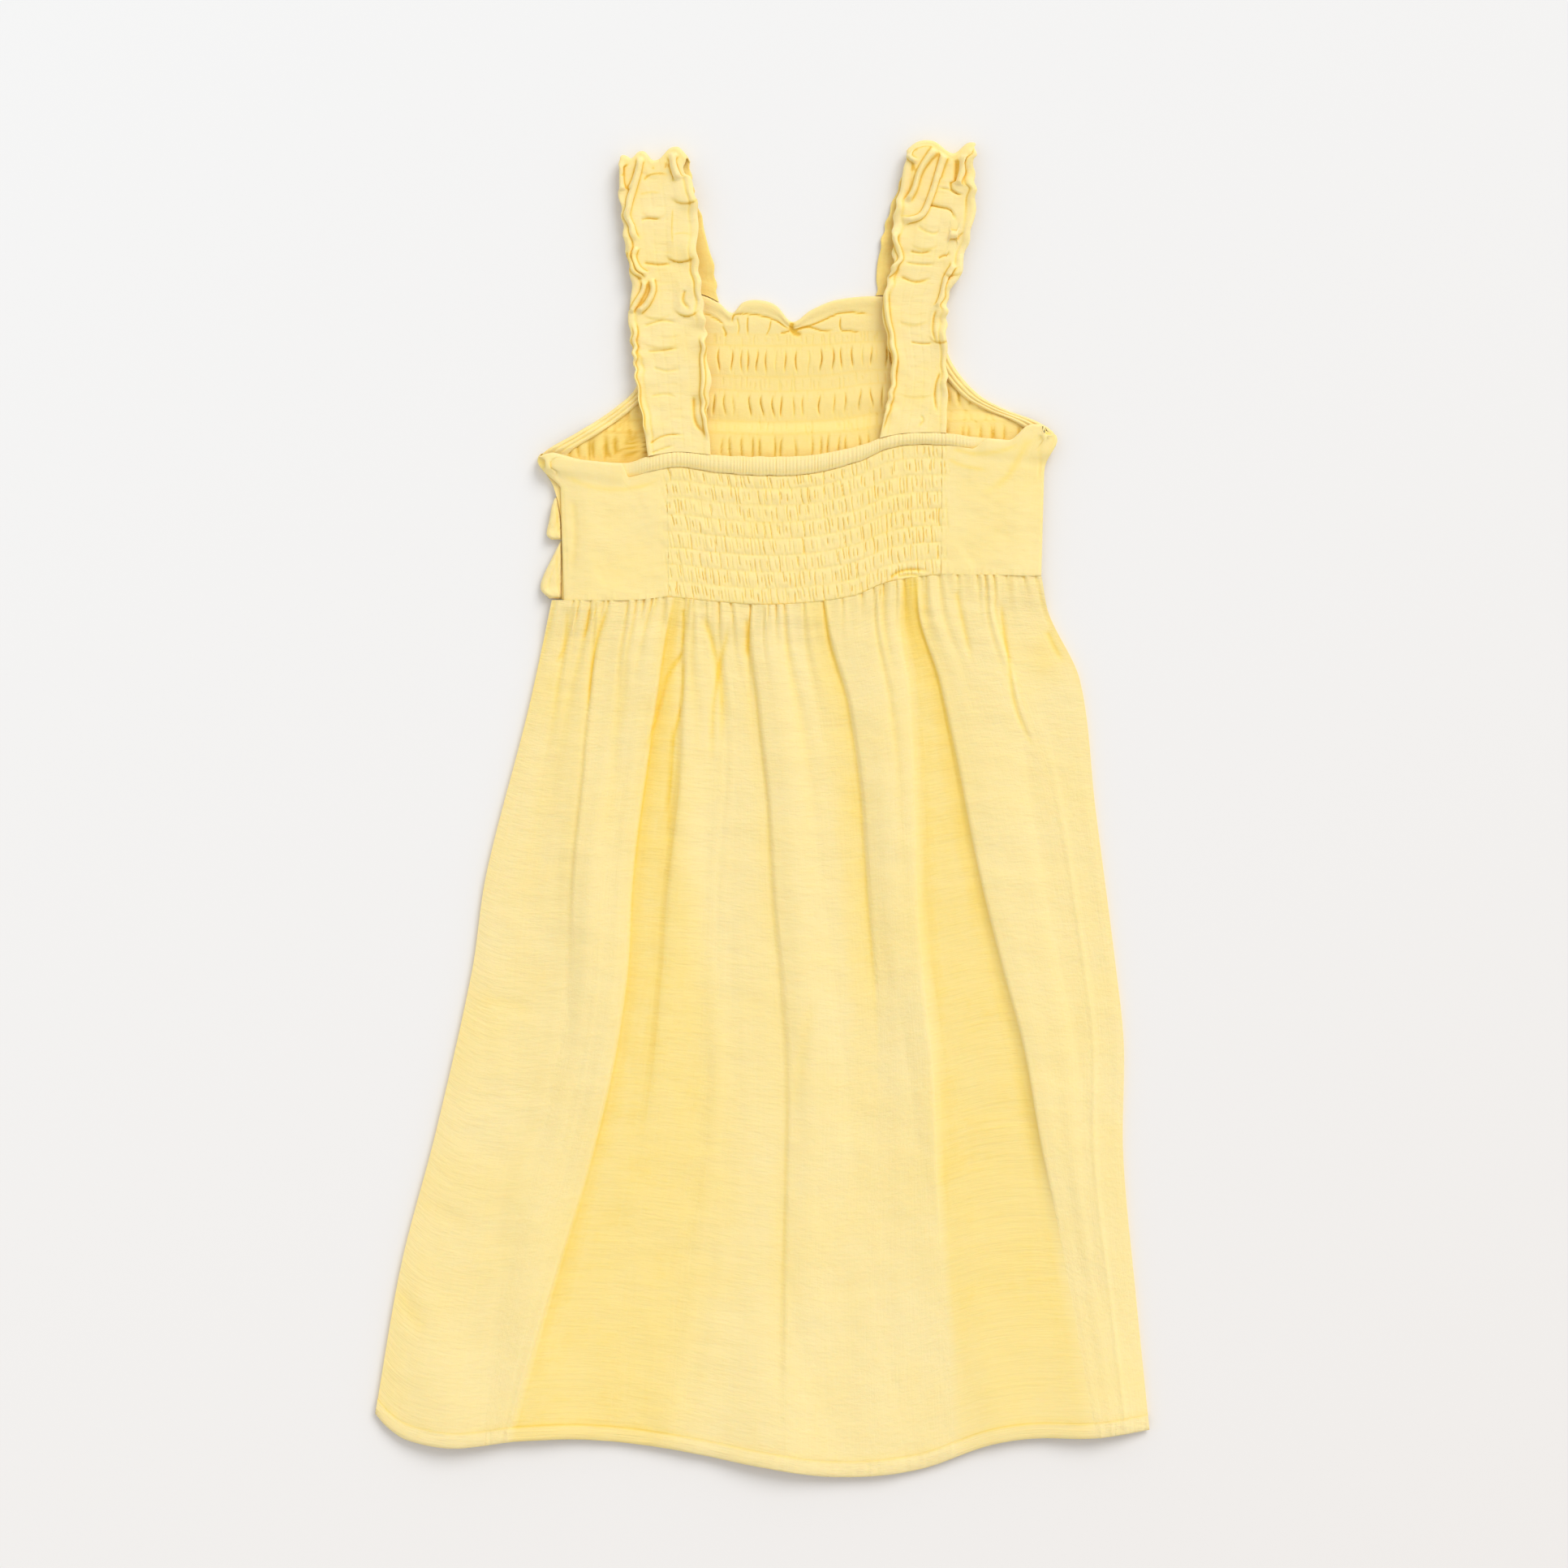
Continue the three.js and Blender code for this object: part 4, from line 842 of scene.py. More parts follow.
def front_bodice():
    """The front bodice, with close columns where the neck and the armholes show it."""
    u = joined((62, 0, 0.14), (8, 0.14, 0.24), (240, 0.24, 0.78), (64, 0.78, 1))[None, :]
    v = joined((116, 0, 0.62), (8, 0.62, 1))[:, None]
    x, y, lift = front_place(u, v)
    puffs = smooth(np.interp(v, [r["v"] for r in FRONT_ROWS], [r["puff"] for r in FRONT_ROWS])) ** 0.6
    row = np.interp(v, FRONT_BANDS, range(len(FRONT_BANDS)))
    bands_across = len(FRONT_BANDS) - 1
    at_armhole = smooth((ARMHOLE_LEFT - x) / 4) + smooth((x - ARMHOLE_RIGHT) / 4)
    wide = mix(gathers(70, x, row, bands_across, 5.6, 0.42, 1.0),
               0.72 * gathers(73, x, row, bands_across, 5.2, 0.8, 1.0), at_armhole)
    in_neck = between(x, NECK_LEFT, NECK_RIGHT, 3, 3) * (row < 5)
    wide = mix(wide, puff_lines(x, row), in_neck)
    narrow = mix(gathers(71, x, row, bands_across, 2.3, 0.35),
                 gathers(74, x, row, bands_across, 3.4, 0.7), at_armhole)
    bound = smooth(np.minimum(u, 1 - u) / (1.1 * BINDING_WIDE))
    billow = 0.75 + 0.3 * grain(72, x, v * FRONT_LENGTH, 7, 9)
    creased, move_x, move_y, crease_painted_shade = rolls(x, y, FRONT_CREASES)
    bands = smooth((v - 0.1) / 0.02)
    relief = FRONT_PUFF * puffs * billow - bands * (1.7 * wide * puffs + 0.35 * narrow * (1 - puffs))
    rim = 0.9 * hump((v - 0.018) / 0.02)
    sewn = sum(hump((v - at) / 0.004) for at in FRONT_BANDS[1:-1])
    thick = np.maximum(0.5, CLOTH - 0.2 + bound * relief + creased + rim)
    edge = 0.4 + 0.6 * round_over(v * FRONT_LENGTH)
    # Painted shade in the valleys of the gathers, with the rows of stitching a little darker
    pucker_shade = 1.3 * wide * puffs + 0.35 * narrow * (1 - puffs) + 0.22 * sewn
    painted_shade = 0.2 + bands * bound * pucker_shade + 1.5 * crease_painted_shade
    # Painted shade: a shadow beside the left strap, a little more lower down and less in the top band; the
    # two lower side corners are painted lighter
    strap_shadow = smooth((v - 0.33) / 0.12) * hump((x + 68) / 14)
    corner = smooth(np.maximum(-104.9 - x, x - 140) / 2) * smooth((202 - y) / 8)
    painted_shade = painted_shade - 0.25 * corner + 0.3 * strap_shadow + 0.15 * smooth((v - 0.3) / 0.2) - 0.15 * (1 - bands)
    outer = stack(x + move_x, y + move_y, lift + thick * edge)
    return cloth("front_bodice_cloth", outer, stack(x, y, lift), FRONT_CUT, painted_shade)


BINDING_WIDE = 0.05  # share of the front's width
BINDING_ENDS = 0.52  # share of the front's length
BINDING_RUN = 160  # length of the front's edge that it follows
BINDING_RIDGES = 3
BINDING_CUT = (11, 84)


def armhole_binding(name, low, high):
    """The binding along one armhole: parallel ridges that end in a rounded corner."""
    u = steps(26, low, high)[None, :]
    v = steps(190, 0, BINDING_ENDS)[:, None]
    x, y, lift = front_place(u, v)
    share = (u - low) / (high - low)
    along = v * BINDING_RUN
    ridges = np.abs(np.sin(np.pi * (share * BINDING_RIDGES + 0.02 * wander(81, along, 20)))) ** 0.55
    pucker = 0.14 * grain(82, share * BINDING_CUT[0], along, 3, 2.6)
    rounded = np.sin(np.pi * clamp(share * 0.96 + 0.02)) ** 0.25
    thick = 0.3 + (0.75 + 0.95 * ridges + pucker) * smooth((BINDING_ENDS - v) / 0.03) * rounded
    under = stack(x, y, lift + CLOTH + SEAM * 0.8)
    # Painted shade between the ridges
    painted_shade = 0.2 + 0.55 * (1 - ridges) ** 1.5
    outer = under + stack(0, 0, 1) * thick[..., None]
    return cloth(name, outer, under, BINDING_CUT, painted_shade)


# The ruffles across the front, of which the left ends stick out past the side seam

RUFFLES = [
    dict(name="upper", seed=90, y_top=184.5, y_bottom=163.8, x_right=143,
         left=table("v x", [(0, -112), (0.08, -115.6), (0.3, -116.3), (0.6, -111.5), (1, -107)])),
    dict(name="middle", seed=100, y_top=163.2, y_bottom=139, x_right=140,
         left=table("v x", [(0, -105.5), (0.2, -108.5), (0.6, -110.5), (0.9, -111.8), (1, -109.5)])),
    dict(name="lower", seed=110, y_top=138.4, y_bottom=108.5, x_right=140,
         left=table("v x", [(0, -104.5), (0.3, -109), (0.65, -114), (0.85, -114.8), (1, -110.5)])),
]


RUFFLE_CUT = (420, 30)
RUFFLE_LENGTH = 24
RUFFLE_WAVES = 11
RUFFLES_SHOW = -103.6  # x left of which a ruffle sticks out from under the bodice


def front_ruffle(row):
    """One ruffle, flat under the bodice and full where its end shows."""
    u = (steps(120) ** 2.4)[None, :]
    v = steps(32)[:, None]
    end = through(row["left"], "v", "x")(v)
    x = mix(end, row["x_right"], u)
    y = mix(row["y_top"], row["y_bottom"], v) + waist_y(x) - WAIST[0]["y"]
    inward, from_hem = x - end, (1 - v) * RUFFLE_LENGTH
    outside = smooth((RUFFLES_SHOW - x) / 3.0)
    wave = 0.5 + 0.5 * np.sin(2 * np.pi * (u * RUFFLE_WAVES + 0.4 * wander(row["seed"], u * 250, 60)))
    bead = 0.8 * hump((inward - 1.9) / 1.9) + 0.8 * hump(from_hem / 1.8 - 1.2)
    crease = between(v, 0.15, 0.95, 0.2, 0.15) * hump((x + 105.9 + 0.5 * np.sin(5 * v)) / 0.7)
    crease = crease + 0.5 * between(v, 0.3, 0.9, 0.3, 0.2) * hump((inward - 3.2 - 1.5 * v) / 0.5)
    swell = 0.9 * np.sin(np.pi * v)
    relief = outside * (bead + swell - 0.6 * crease + 0.25 * grain(row["seed"] + 5, x, y, 4, 3))
    edge = round_over(inward / 1.1) * round_over(from_hem / 1.1)
    past_seam = front_left(y) - x
    raised = 2.9 * smooth((past_seam - 0.2) / 0.7) * (1 - 0.3 * smooth((past_seam - 3) / 10))
    under = stack(x, y, raised + 0.3 * wave * v * smooth(u / 0.02))
    thick = (1.5 + 0.3 * wave * v + np.maximum(-0.6, relief)) * (0.35 + 0.65 * edge)
    # Painted shade along the crease of the end that shows, and a little more under the bodice
    painted_shade = 0.14 + outside * 0.45 * crease + 0.1 * smooth((x + 106.5) / 3)
    outer = under + stack(0, 0, 1) * thick[..., None]
    return cloth("front_ruffle_" + row["name"] + "_cloth", outer, under, RUFFLE_CUT, painted_shade)


# The straps. Rolls are their curled ruffles and short creases, and ledges their soft tucks. Down is
# the half underneath, from the front's top edge to the shoulder, and up the half on top, whose left
# and right edges wander. Lobes are the scallops of the fold at the shoulder, at places from -1 to 1.

LEFT_STRAP_ROLLS = [
    ([(-62.7, 338.5), (-64.2, 329.3), (-67.3, 318), (-69.9, 307.7), (-67.6, 299.5), (-65, 292.3)], 2.7, 2.2),
    ([(-73, 333), (-73.6, 325), (-72.6, 319)], 2.9, 1.4),
    ([(-69.6, 335.5), (-71.4, 328.3), (-74, 326.2)], 0.5, -0.9),
    ([(-65.3, 290.3), (-66.3, 284.1), (-64.2, 279), (-59.1, 275.4)], 2.0, 2.0),
    ([(-68.3, 288.2), (-68.6, 282.1), (-66, 276.8), (-61.2, 274)], 1.7, 1.5),
    ([(-57.5, 274), (-56.5, 267.7), (-59.6, 260.5), (-64.2, 256)], 2.0, 2.1),
    ([(-61.2, 272.5), (-62.2, 266.7), (-66, 259.5), (-67.4, 256)], 1.8, 1.7),
    ([(-66, 252), (-66, 238), (-66, 225), (-63.5, 208), (-60.8, 192)], 1.7, 1.5),
    ([(-45.7, 339.5), (-46.2, 333), (-43.7, 324.5)], 4.4, 2.1),
    ([(-51.5, 333), (-48.5, 326.5), (-44, 322.8)], 0.5, -0.8),
    ([(-56.5, 334), (-56.8, 329.5)], 0.6, -0.9),
    ([(-51.9, 334), (-52.2, 329.5)], 0.6, -0.8),
    ([(-61, 324), (-58.6, 327), (-54, 327.8), (-49.5, 326)], 0.6, -0.9),
    ([(-63, 317), (-58, 318.4), (-52, 318)], 0.6, -0.5),
    ([(-46.4, 310.5), (-46.8, 300), (-46.3, 289)], 0.5, -0.7),
    ([(-46, 296.5), (-41, 297.2), (-36.5, 296)], 0.5, -0.5),
    ([(-30.6, 246), (-31, 225), (-30.6, 205), (-27.6, 190)], 2.2, 1.3),
    ([(-63, 304), (-58, 305), (-52, 304.4)], 0.6, -0.7),
    ([(-62, 282), (-54, 281), (-46, 281.6)], 0.7, -0.8),
    ([(-62, 249), (-52, 252), (-44, 251)], 0.6, -0.6),
    ([(-60, 236), (-52, 236.5), (-42, 238)], 0.6, -0.6),
    ([(-57, 228), (-50, 226), (-42, 227)], 0.6, -0.4),
    ([(-58, 213), (-50, 214), (-44, 212)], 0.6, -0.4),
    ([(-59, 189), (-50.7, 192.1), (-38.8, 192)], 0.5, -0.7),
    ([(-58, 184.2), (-44.8, 186.6)], 0.5, -0.5),
    ([(-40, 268), (-41, 262), (-37, 257)], 0.8, -0.8),
    ([(-36, 214), (-35, 200), (-30, 192)], 0.8, -0.9),
]
RIGHT_STRAP_ROLLS = [
    ([(94.6, 340.5), (91.4, 330.4), (87.3, 317), (82, 306.2), (71.5, 303.2)], 3.0, 2.0),
    ([(89.7, 341.5), (85, 335.5), (80.9, 328.3), (78.3, 320.1), (74.8, 312.9)], 2.0, 2.5),
    ([(90.5, 343), (85, 344.2), (77.6, 341.5), (76, 336.5), (80.4, 333.6)], 2.3, 1.9),
    ([(76.3, 330.6), (79.3, 331)], 1.5, -1.3),
    ([(77, 341.8), (80.8, 338.8)], 0.6, -1.0),
    ([(69.5, 298), (68.6, 292), (71.5, 285), (66.5, 277), (64.5, 274.5)], 2.2, 1.8),
    ([(63.8, 270.5), (65, 253), (68.2, 232), (66, 212), (59.5, 194)], 1.9, 2.0),
    ([(96.5, 296.5), (101, 296)], 5.6, 2.2),
    ([(99.5, 281.5), (95, 274.5), (93, 266), (90, 258)], 2.6, 1.6),
    ([(103.8, 338), (103, 329), (101, 322)], 4.0, 1.6),
    ([(110.5, 342), (106.2, 335.5), (105, 331)], 0.5, -0.8),
    ([(98.8, 337), (98, 329), (97.6, 320.5), (101.5, 317.3), (104.5, 317.6)], 0.6, -1.0),
    ([(92, 320.3), (97, 319.5), (101.9, 317)], 0.5, -0.5),
    ([(86.5, 311.4), (92, 310.6), (96.8, 309.3), (101.9, 304.7)], 0.6, -1.0),
    ([(96.8, 291.3), (100, 293), (101.5, 295.5), (105, 298)], 0.5, -0.9),
    ([(90.6, 284), (94, 285.6), (97.5, 284.8)], 0.6, -0.8),
    ([(76, 288), (82, 287), (88, 288)], 0.6, -0.8),
    ([(74, 282), (82, 281), (90, 281)], 0.6, -0.6),
    ([(71, 275), (79, 272), (88, 274)], 0.7, -0.8),
    ([(80, 300), (88, 297), (92, 299)], 0.6, -0.5),
    ([(76, 241), (83, 240), (89, 240.5)], 0.5, -0.7),
    ([(89.5, 258), (88, 248), (90, 240)], 0.7, -0.8),
    ([(91.5, 226), (89, 214), (90.5, 202)], 0.7, -0.8),
    ([(82, 202), (83, 199), (80, 196)], 0.6, -0.5),
]
STRAPS = [
    dict(
        name="left",
        down=table("y left right", [(262, -59, -23), (282, -61.6, -25.6), (304, -67, -31), (322, -71, -36),
                                    (334, -72, -38)]),
        up=table("y left right", [
            (334, -72.5, -39.5), (328, -75, -38.5), (319, -74.4, -35.2), (306, -73.6, -33),
            (294, -71.8, -34), (284, -70.4, -33.4), (269, -67.8, -31.6), (255, -69, -30),
            (241, -68.6, -28.4), (229, -66.4, -27.2), (219, -65.4, -26.4), (204, -62.4, -27.6),
            (183, -59.2, -26.8)]),
        lobes=table("at reach half", [(-0.95, 2.7, 0.2), (-0.41, 5.3, 0.24), (0.6, 7.2, 0.36)]),
        rolls=LEFT_STRAP_ROLLS,
        ledges=table("y_top y_foot x half rise", [
            (311, 283, -42.5, 6.2, 1.5), (281, 255, -39, 5.4, 1.5), (330, 313, -40, 6, 1.2),
            (318, 305, -56, 5, 0.5), (280, 253, -55, 6, 0.5), (250, 238, -52, 8, 0.5),
        ]),
        seed=100,
    ),
    dict(
        name="right",
        down=table("y left right", [(264, 59, 95), (288, 60.5, 96.5), (308, 65.4, 101.4), (326, 72, 106),
                                    (337, 76, 110)]),
        up=table("y left right", [
            (337, 75.4, 110), (328, 72.5, 110.6), (316, 70, 110.4), (309, 68.4, 110),
            (294, 66.6, 107), (282, 67, 103.5), (276, 65.5, 102.8), (266, 63, 97.5),
            (254, 62, 95.5), (240, 64.5, 95.2), (226, 66.8, 95.4), (209, 64, 95.6), (193, 60.5, 95)]),
        lobes=table("at reach half", [(-0.42, 8.0, 0.55), (0.9, 6.8, 0.36)]),
        rolls=RIGHT_STRAP_ROLLS,
        ledges=table("y_top y_foot x half rise", [
            (268, 241, 92, 5, 1.1), (262, 250, 78, 7, 0.5), (312, 289, 84, 6, 0.6), (290, 275, 98, 5, 1.0),
            (238, 212, 80, 8, 0.4),
        ]),
        seed=200,
    ),
]
STRAP_CLOTH = 2.0
STRAP_UPPER = 6.2  # height of the middle of the upper half
STRAP_AT_CASING = 7.6  # and the same where it goes under the casing
STRAP_HALF = 18  # half the strap's width
STRAP_BAND = 0.44  # share of the width that the elastic gathers
STRAP_STITCHES = (-1, -0.36, 0.36, 1)  # lines of stitches, at shares of that band
STRAP_FOLD = 1.5  # how far the fold at the shoulder bulges
STRAP_CUT = (60, 420)


def ledges(x, y, rows):
    """Tucks that rise slowly downwards and end in a short overhang: height, shift and the painted shade under
    the overhang.
    """
    height, slide, painted_shade = np.zeros(x.shape), np.zeros(x.shape), np.zeros(x.shape)
    for row in rows:
        down = (row["y_top"] - y) / (row["y_top"] - row["y_foot"])
        aside = (x - row["x"]) / row["half"]
        beyond = row["y_foot"] + 1.6 * aside**2 - y
        wide = np.exp(-(aside**4))
        rise = smooth(down / 0.9) * (1 - smooth((beyond + 0.9) / 1.3))
        overhang = smooth(down) * hump(np.minimum(0, beyond + 0.9) / 1.6) * (beyond < 0.6)
        height += row["rise"] * wide * rise
        slide -= 0.55 * row["rise"] * wide * overhang
        painted_shade += 0.75 * row["rise"] * wide * hump((beyond - 0.3) / 0.9)
    return height, slide, painted_shade


def strap(part):
    """One strap: a strip that runs up from the front's edge, folds over and comes down to the casing."""
    down, up, seed = part["down"], part["up"], part["seed"]
    top, start_y, end_y = up[0]["y"] - STRAP_FOLD, down[0]["y"], up[-1]["y"]
    low_z = STRAP_CLOTH / 2
    radius = (STRAP_UPPER - low_z) / 2
    run_down, run_up, around = top - start_y, top - end_y, math.pi * radius
    total = run_down + around + run_up
    fold_ends = run_down + around
    s = joined((49, 0, run_down), (15, run_down, fold_ends), (257, fold_ends, total))[:, None]
    turn = np.pi * clamp((s - run_down) / around)
    from_fold = np.maximum(0, s - fold_ends)
    y_low, y_high = start_y + np.minimum(s, run_down), top - from_fold
    lower, upper = s < run_down, s > fold_ends
    y = np.where(lower, y_low, y_high)
    w = steps(70, -1, 1)[None, :]
    share = (w + 1) / 2
    below = mix(through(down, "y", "left")(y_low), through(down, "y", "right")(y_low), share)
    above = mix(through(up, "y", "left")(y_high), through(up, "y", "right")(y_high), share)
    x = mix(below, above, smooth(turn / np.pi))
    begin, end = 1 - smooth(s / 14), 1 - smooth((total - s) / 30)
    z = np.where(lower, low_z, low_z + radius * (1 - np.cos(turn)))
    z = np.where(upper, mix(STRAP_UPPER, STRAP_AT_CASING, end), z)
    from_edge = (1 - np.abs(w)) * STRAP_HALF
    loose = smooth((10 - from_edge) / 9)
    side = np.sign(w)
    phase = 2 * np.pi * (s / 19 + 0.5 * wander(seed + 1, s + 60 * side, 50))
    wave = np.where(turn < np.pi / 2, -0.5 * (1 + np.sin(phase)), 0.5 + 0.6 * np.sin(phase))
    rise = 1.6 * loose * wave * (1 - np.maximum(begin, 0.6 * end)) * np.abs(np.cos(turn))
    on_top = smooth(from_fold / 3)
    lobes = sum(lobe["reach"] * np.exp(-np.abs((w - lobe["at"]) / lobe["half"]) ** 2.6)
                for lobe in part["lobes"])
    lobes = lobes * (1 - smooth(np.where(lower, run_down - s, from_fold) / 15))
    rolled, move_x, move_y, painted_shade = rolls(x, y + lobes, part["rolls"])
    tucked, slide, tuck_painted_shade = ledges(x, y, part["ledges"])
    band = 1 - smooth((np.abs(w) - STRAP_BAND * 0.8) / 0.2)
    crinkle = 0.28 * grain(seed + 2, x, y, 10, 6) + 0.06 * grain(seed + 3, x, y, 4, 1.6)
    stitch = sum(hump((w - at * STRAP_BAND) / 0.02) for at in STRAP_STITCHES)
    stitch = stitch * (0.75 + 0.3 * wander(seed, s, 11))
    ruche = gathers(seed + 4, y, share * 3, 3, 5.0, 0.5) * band
    shown = clamp(0.55 + 0.7 * wander(seed + 9, s + 40 * side, 34)) * (1 - 0.7 * end) * clamp(1 - rolled)
    inner_line = from_edge - 3.9 - 0.8 * wander(seed + 10, s + 40 * side, 16)
    rim_crease = hump(inner_line / 0.6)
    rim_roll = shown * (1.2 * hump((from_edge - 1.8) / 1.4) - 0.7 * rim_crease)
    relief = on_top * (1.45 * rolled + tucked + rim_roll + 0.2) + crinkle - 0.2 * stitch * band - 0.2 * ruche
    swing = 0.5 * side * loose * np.sin(1.7 * phase + side) * (1 - end)
    px = x + swing + on_top * move_x
    follow = begin * (header_y(px) + SEAM - start_y) + end * (casing_high(px) + CLOSED - end_y)
    half_wall = (STRAP_CLOTH / 2 - 0.2) * (0.35 + 0.65 * round_over(from_edge / 0.9))

    def face(out):
        beyond = (out + STRAP_FOLD) * np.sin(turn) + lobes
        return stack(px, y + beyond + follow + on_top * (move_y + slide),
                     z - out * np.cos(turn) + 0.1 * lobes * on_top)

    # Painted shade: in the rolls, under the tucks, in the rim's crease, on the half underneath, in the ruche,
    # along the stitching and where the loose edge dips, with some random tone
    shade_in_hollows = 0.12 + on_top * (painted_shade + 0.95 * tuck_painted_shade + 0.9 * shown * rim_crease)
    shade_in_hollows = shade_in_hollows + 0.14 * ruche + 0.12 * stitch * band + 0.14 * (1 - on_top)
    shade_in_hollows = shade_in_hollows + 0.1 * grain(seed + 7, x, y, 12, 10) + 0.12 * loose * np.maximum(0, -wave)
    return cloth("strap_" + part["name"] + "_cloth", face(rise + half_wall + relief), face(rise - half_wall),
                 STRAP_CUT, shade_in_hollows)


# Materials

class Wire:
    """One socket of a node tree, on which the plain operators add Math nodes."""

    def __init__(self, tree, socket):
        self.tree, self.socket = tree, socket

    def _math(self, operation, other, swap=False, limit=False):
        first, second = (other, self) if swap else (self, other)
        return self.tree.node("ShaderNodeMath", {"operation": operation, "use_clamp": limit},
                              {0: first, 1: second})

    def __add__(self, other):
        return self._math("ADD", other)

    __radd__ = __add__

    def __mul__(self, other):
        return self._math("MULTIPLY", other)

    __rmul__ = __mul__

    def __sub__(self, other):
        return self._math("SUBTRACT", other)

    def __rsub__(self, other):
        return self._math("SUBTRACT", other, swap=True)

    def held(self):
        """The same value, held between 0 and 1."""
        return self._math("ADD", 0.0, limit=True)


class Finish:
    """A material and its node tree."""

    def __init__(self, name):
        self.material = bpy.data.materials.new(name)
        self.material.use_nodes = True
        self.nodes = self.material.node_tree.nodes
        self.links = self.material.node_tree.links
        self.shader = self.nodes["Principled BSDF"]

    def node(self, kind, settings, sockets, output=0):
        made = self.nodes.new(kind)
        for key, value in settings.items():
            setattr(made, key, value)
        for key, value in sockets.items():
            self.set(made.inputs[key], value)
        return Wire(self, made.outputs[output])

    def set(self, socket, value):
        if isinstance(value, Wire):
            self.links.new(value.socket, socket)
        else:
            socket.default_value = value

    def noise(self, place, scale, detail, roughness):
        return self.node("ShaderNodeTexNoise", {},
                         {"Vector": place, "Scale": scale, "Detail": detail, "Roughness": roughness})

    def stretched(self, place, x, y):
        """The same place with a pattern on it packed x times across and y times down."""
        return self.node("ShaderNodeMapping", {}, {0: place, 3: (x, y, 1)})

    def coat(self, values):
        """Sets sockets of the shader to numbers, colours or wires."""
        for name, value in values.items():
            self.set(self.shader.inputs[name], value)

    def blend(self, factor, first, second):
        return self.node("ShaderNodeMix", {"data_type": "RGBA"}, {0: factor, 6: first, 7: second}, output=2)


def gauze(name, ridge, shade_in_hollows, crease, crinkle=1.0):
    """Crinkled double gauze: an open weave with fine cross crinkles, with painted shade in its hollows and
    creases, where the colour goes from ridge to the darker, warmer hollow colour and then to the crease
    colour.
    crinkle is the share of the crinkles that colour and bump show, beside those that are shape."""
    m = Finish(name)
    weave = m.node("ShaderNodeUVMap", {"uv_map": "Cloth"}, {})
    spot = m.node("ShaderNodeTexCoord", {}, {}, output=3)
    painted_shade = m.node("ShaderNodeAttribute", {"attribute_name": "PaintedShade"}, {}, output=2)
    wrinkle = m.noise(m.stretched(weave, 130, 560), 1.0, 3.0, 0.6)
    streak = m.noise(m.stretched(weave, 520, 50), 1.0, 2.0, 0.5)
    ripple = m.noise(m.stretched(weave, 48, 190), 1.0, 3.0, 0.6)
    broad = m.noise(spot, 34.0, 3.0, 0.55)
    slub = m.noise(weave, 900.0, 2.0, 0.7)
    relief = ripple * (0.00042 * crinkle) + wrinkle * (0.00036 * crinkle) + streak * (0.00012 * crinkle)
    relief = relief + broad * 0.0002 + slub * 0.00006
    uneven = (ripple - 0.5) * (0.13 * crinkle) + (wrinkle - 0.5) * 0.2 + (streak - 0.5) * 0.12
    uneven = uneven + (broad - 0.5) * 0.3 + (slub - 0.5) * 0.12
    # low is the painted shade of each point, with random tone from the noises added
    low = painted_shade + uneven
    first = m.blend((low * 1.7).held(), ridge, shade_in_hollows)
    m.coat({
        "Base Color": m.blend(((low - 0.55) * 1.9).held(), first, crease),
        "Normal": m.node("ShaderNodeBump", {}, {"Strength": 1.0, "Distance": 1.0, "Height": relief}),
        "Roughness": 0.94,
        "Specular IOR Level": 0.15,
        "Sheen Weight": 0.1,
        "Sheen Roughness": 0.5,
        "Subsurface Weight": 0.5,
        "Subsurface Radius": (1.0, 0.8, 0.5),
        "Subsurface Scale": 0.0005,
    })
    return m.material


# The gauze's colour on its ridges, and the colours of its painted shade in hollows and in creases
RIDGE, HOLLOW_SHADE, CREASE_SHADE = (0.965, 0.775, 0.385, 1), (0.985, 0.745, 0.255, 1), (0.92, 0.63, 0.09, 1)
SHADED = (0.78, 0.47, 0.05, 1)  # the narrow creases of the straps and of the front's inside
# The back skirt's copy is a little darker than the bodice's: painted shade for the weaker light on the skirt
gauze_outside_shaded = gauze("gauze_outside_shaded", (0.94, 0.768, 0.39, 1), (0.955, 0.732, 0.265, 1), CREASE_SHADE)
gauze_bodice = gauze("gauze_bodice", RIDGE, HOLLOW_SHADE, CREASE_SHADE, 0.35)
gauze_strap = gauze("gauze_strap", RIDGE, HOLLOW_SHADE, SHADED, 0.35)
# The pieces that lie underneath, the front skirt and the front bodice, get a darker, warmer copy: painted
# shade
gauze_inside = gauze("gauze_inside", (0.965, 0.765, 0.345, 1), (0.975, 0.715, 0.215, 1), SHADED, 0.4)


# Every piece: the solids that it takes the place of, its material, and the size of the flat cloth it is made
# of, which nothing uses

def dress_in(piece, nodes, material):
    """Gives a piece its material, hangs it from the root body, and hides the solids that it stands for."""
    piece.data.materials.clear()
    piece.data.materials.append(material)
    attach(piece, "root")
    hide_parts(*nodes)
    return piece


def cut_from(cut):
    """Takes the width and length of the flat cloth that a piece lies in, turns them into metres and keeps
    neither.
    """
    cut[0] * MM
    cut[1] * MM


piece = dress_in(front_skirt(), ["skirt_front"], gauze_inside)
cut_from((430, 436))
piece = dress_in(back_skirt(), ["skirt_back"], gauze_outside_shaded)
cut_from((430, 445))
for row in RUFFLES:
    piece = dress_in(front_ruffle(row), ["front_ruffle_" + row["name"]], gauze_bodice)
    cut_from((320, row["y_top"] - row["y_bottom"]))
bindings = [
    dress_in(armhole_binding("binding_" + side, low, high), ["armhole_binding_" + side],
             gauze_bodice)
    for side, low, high in (("left", 0, BINDING_WIDE), ("right", 1, 1 - BINDING_WIDE))
]
piece = dress_in(front_bodice(), ["bodice_front"], gauze_inside)
cut_from((255, 165))
casing_roll = dress_in(casing(), ["back_casing"], gauze_bodice)
GAP = CLOSED / BACK_WIDTH  # between the shirred middle and the plain sides
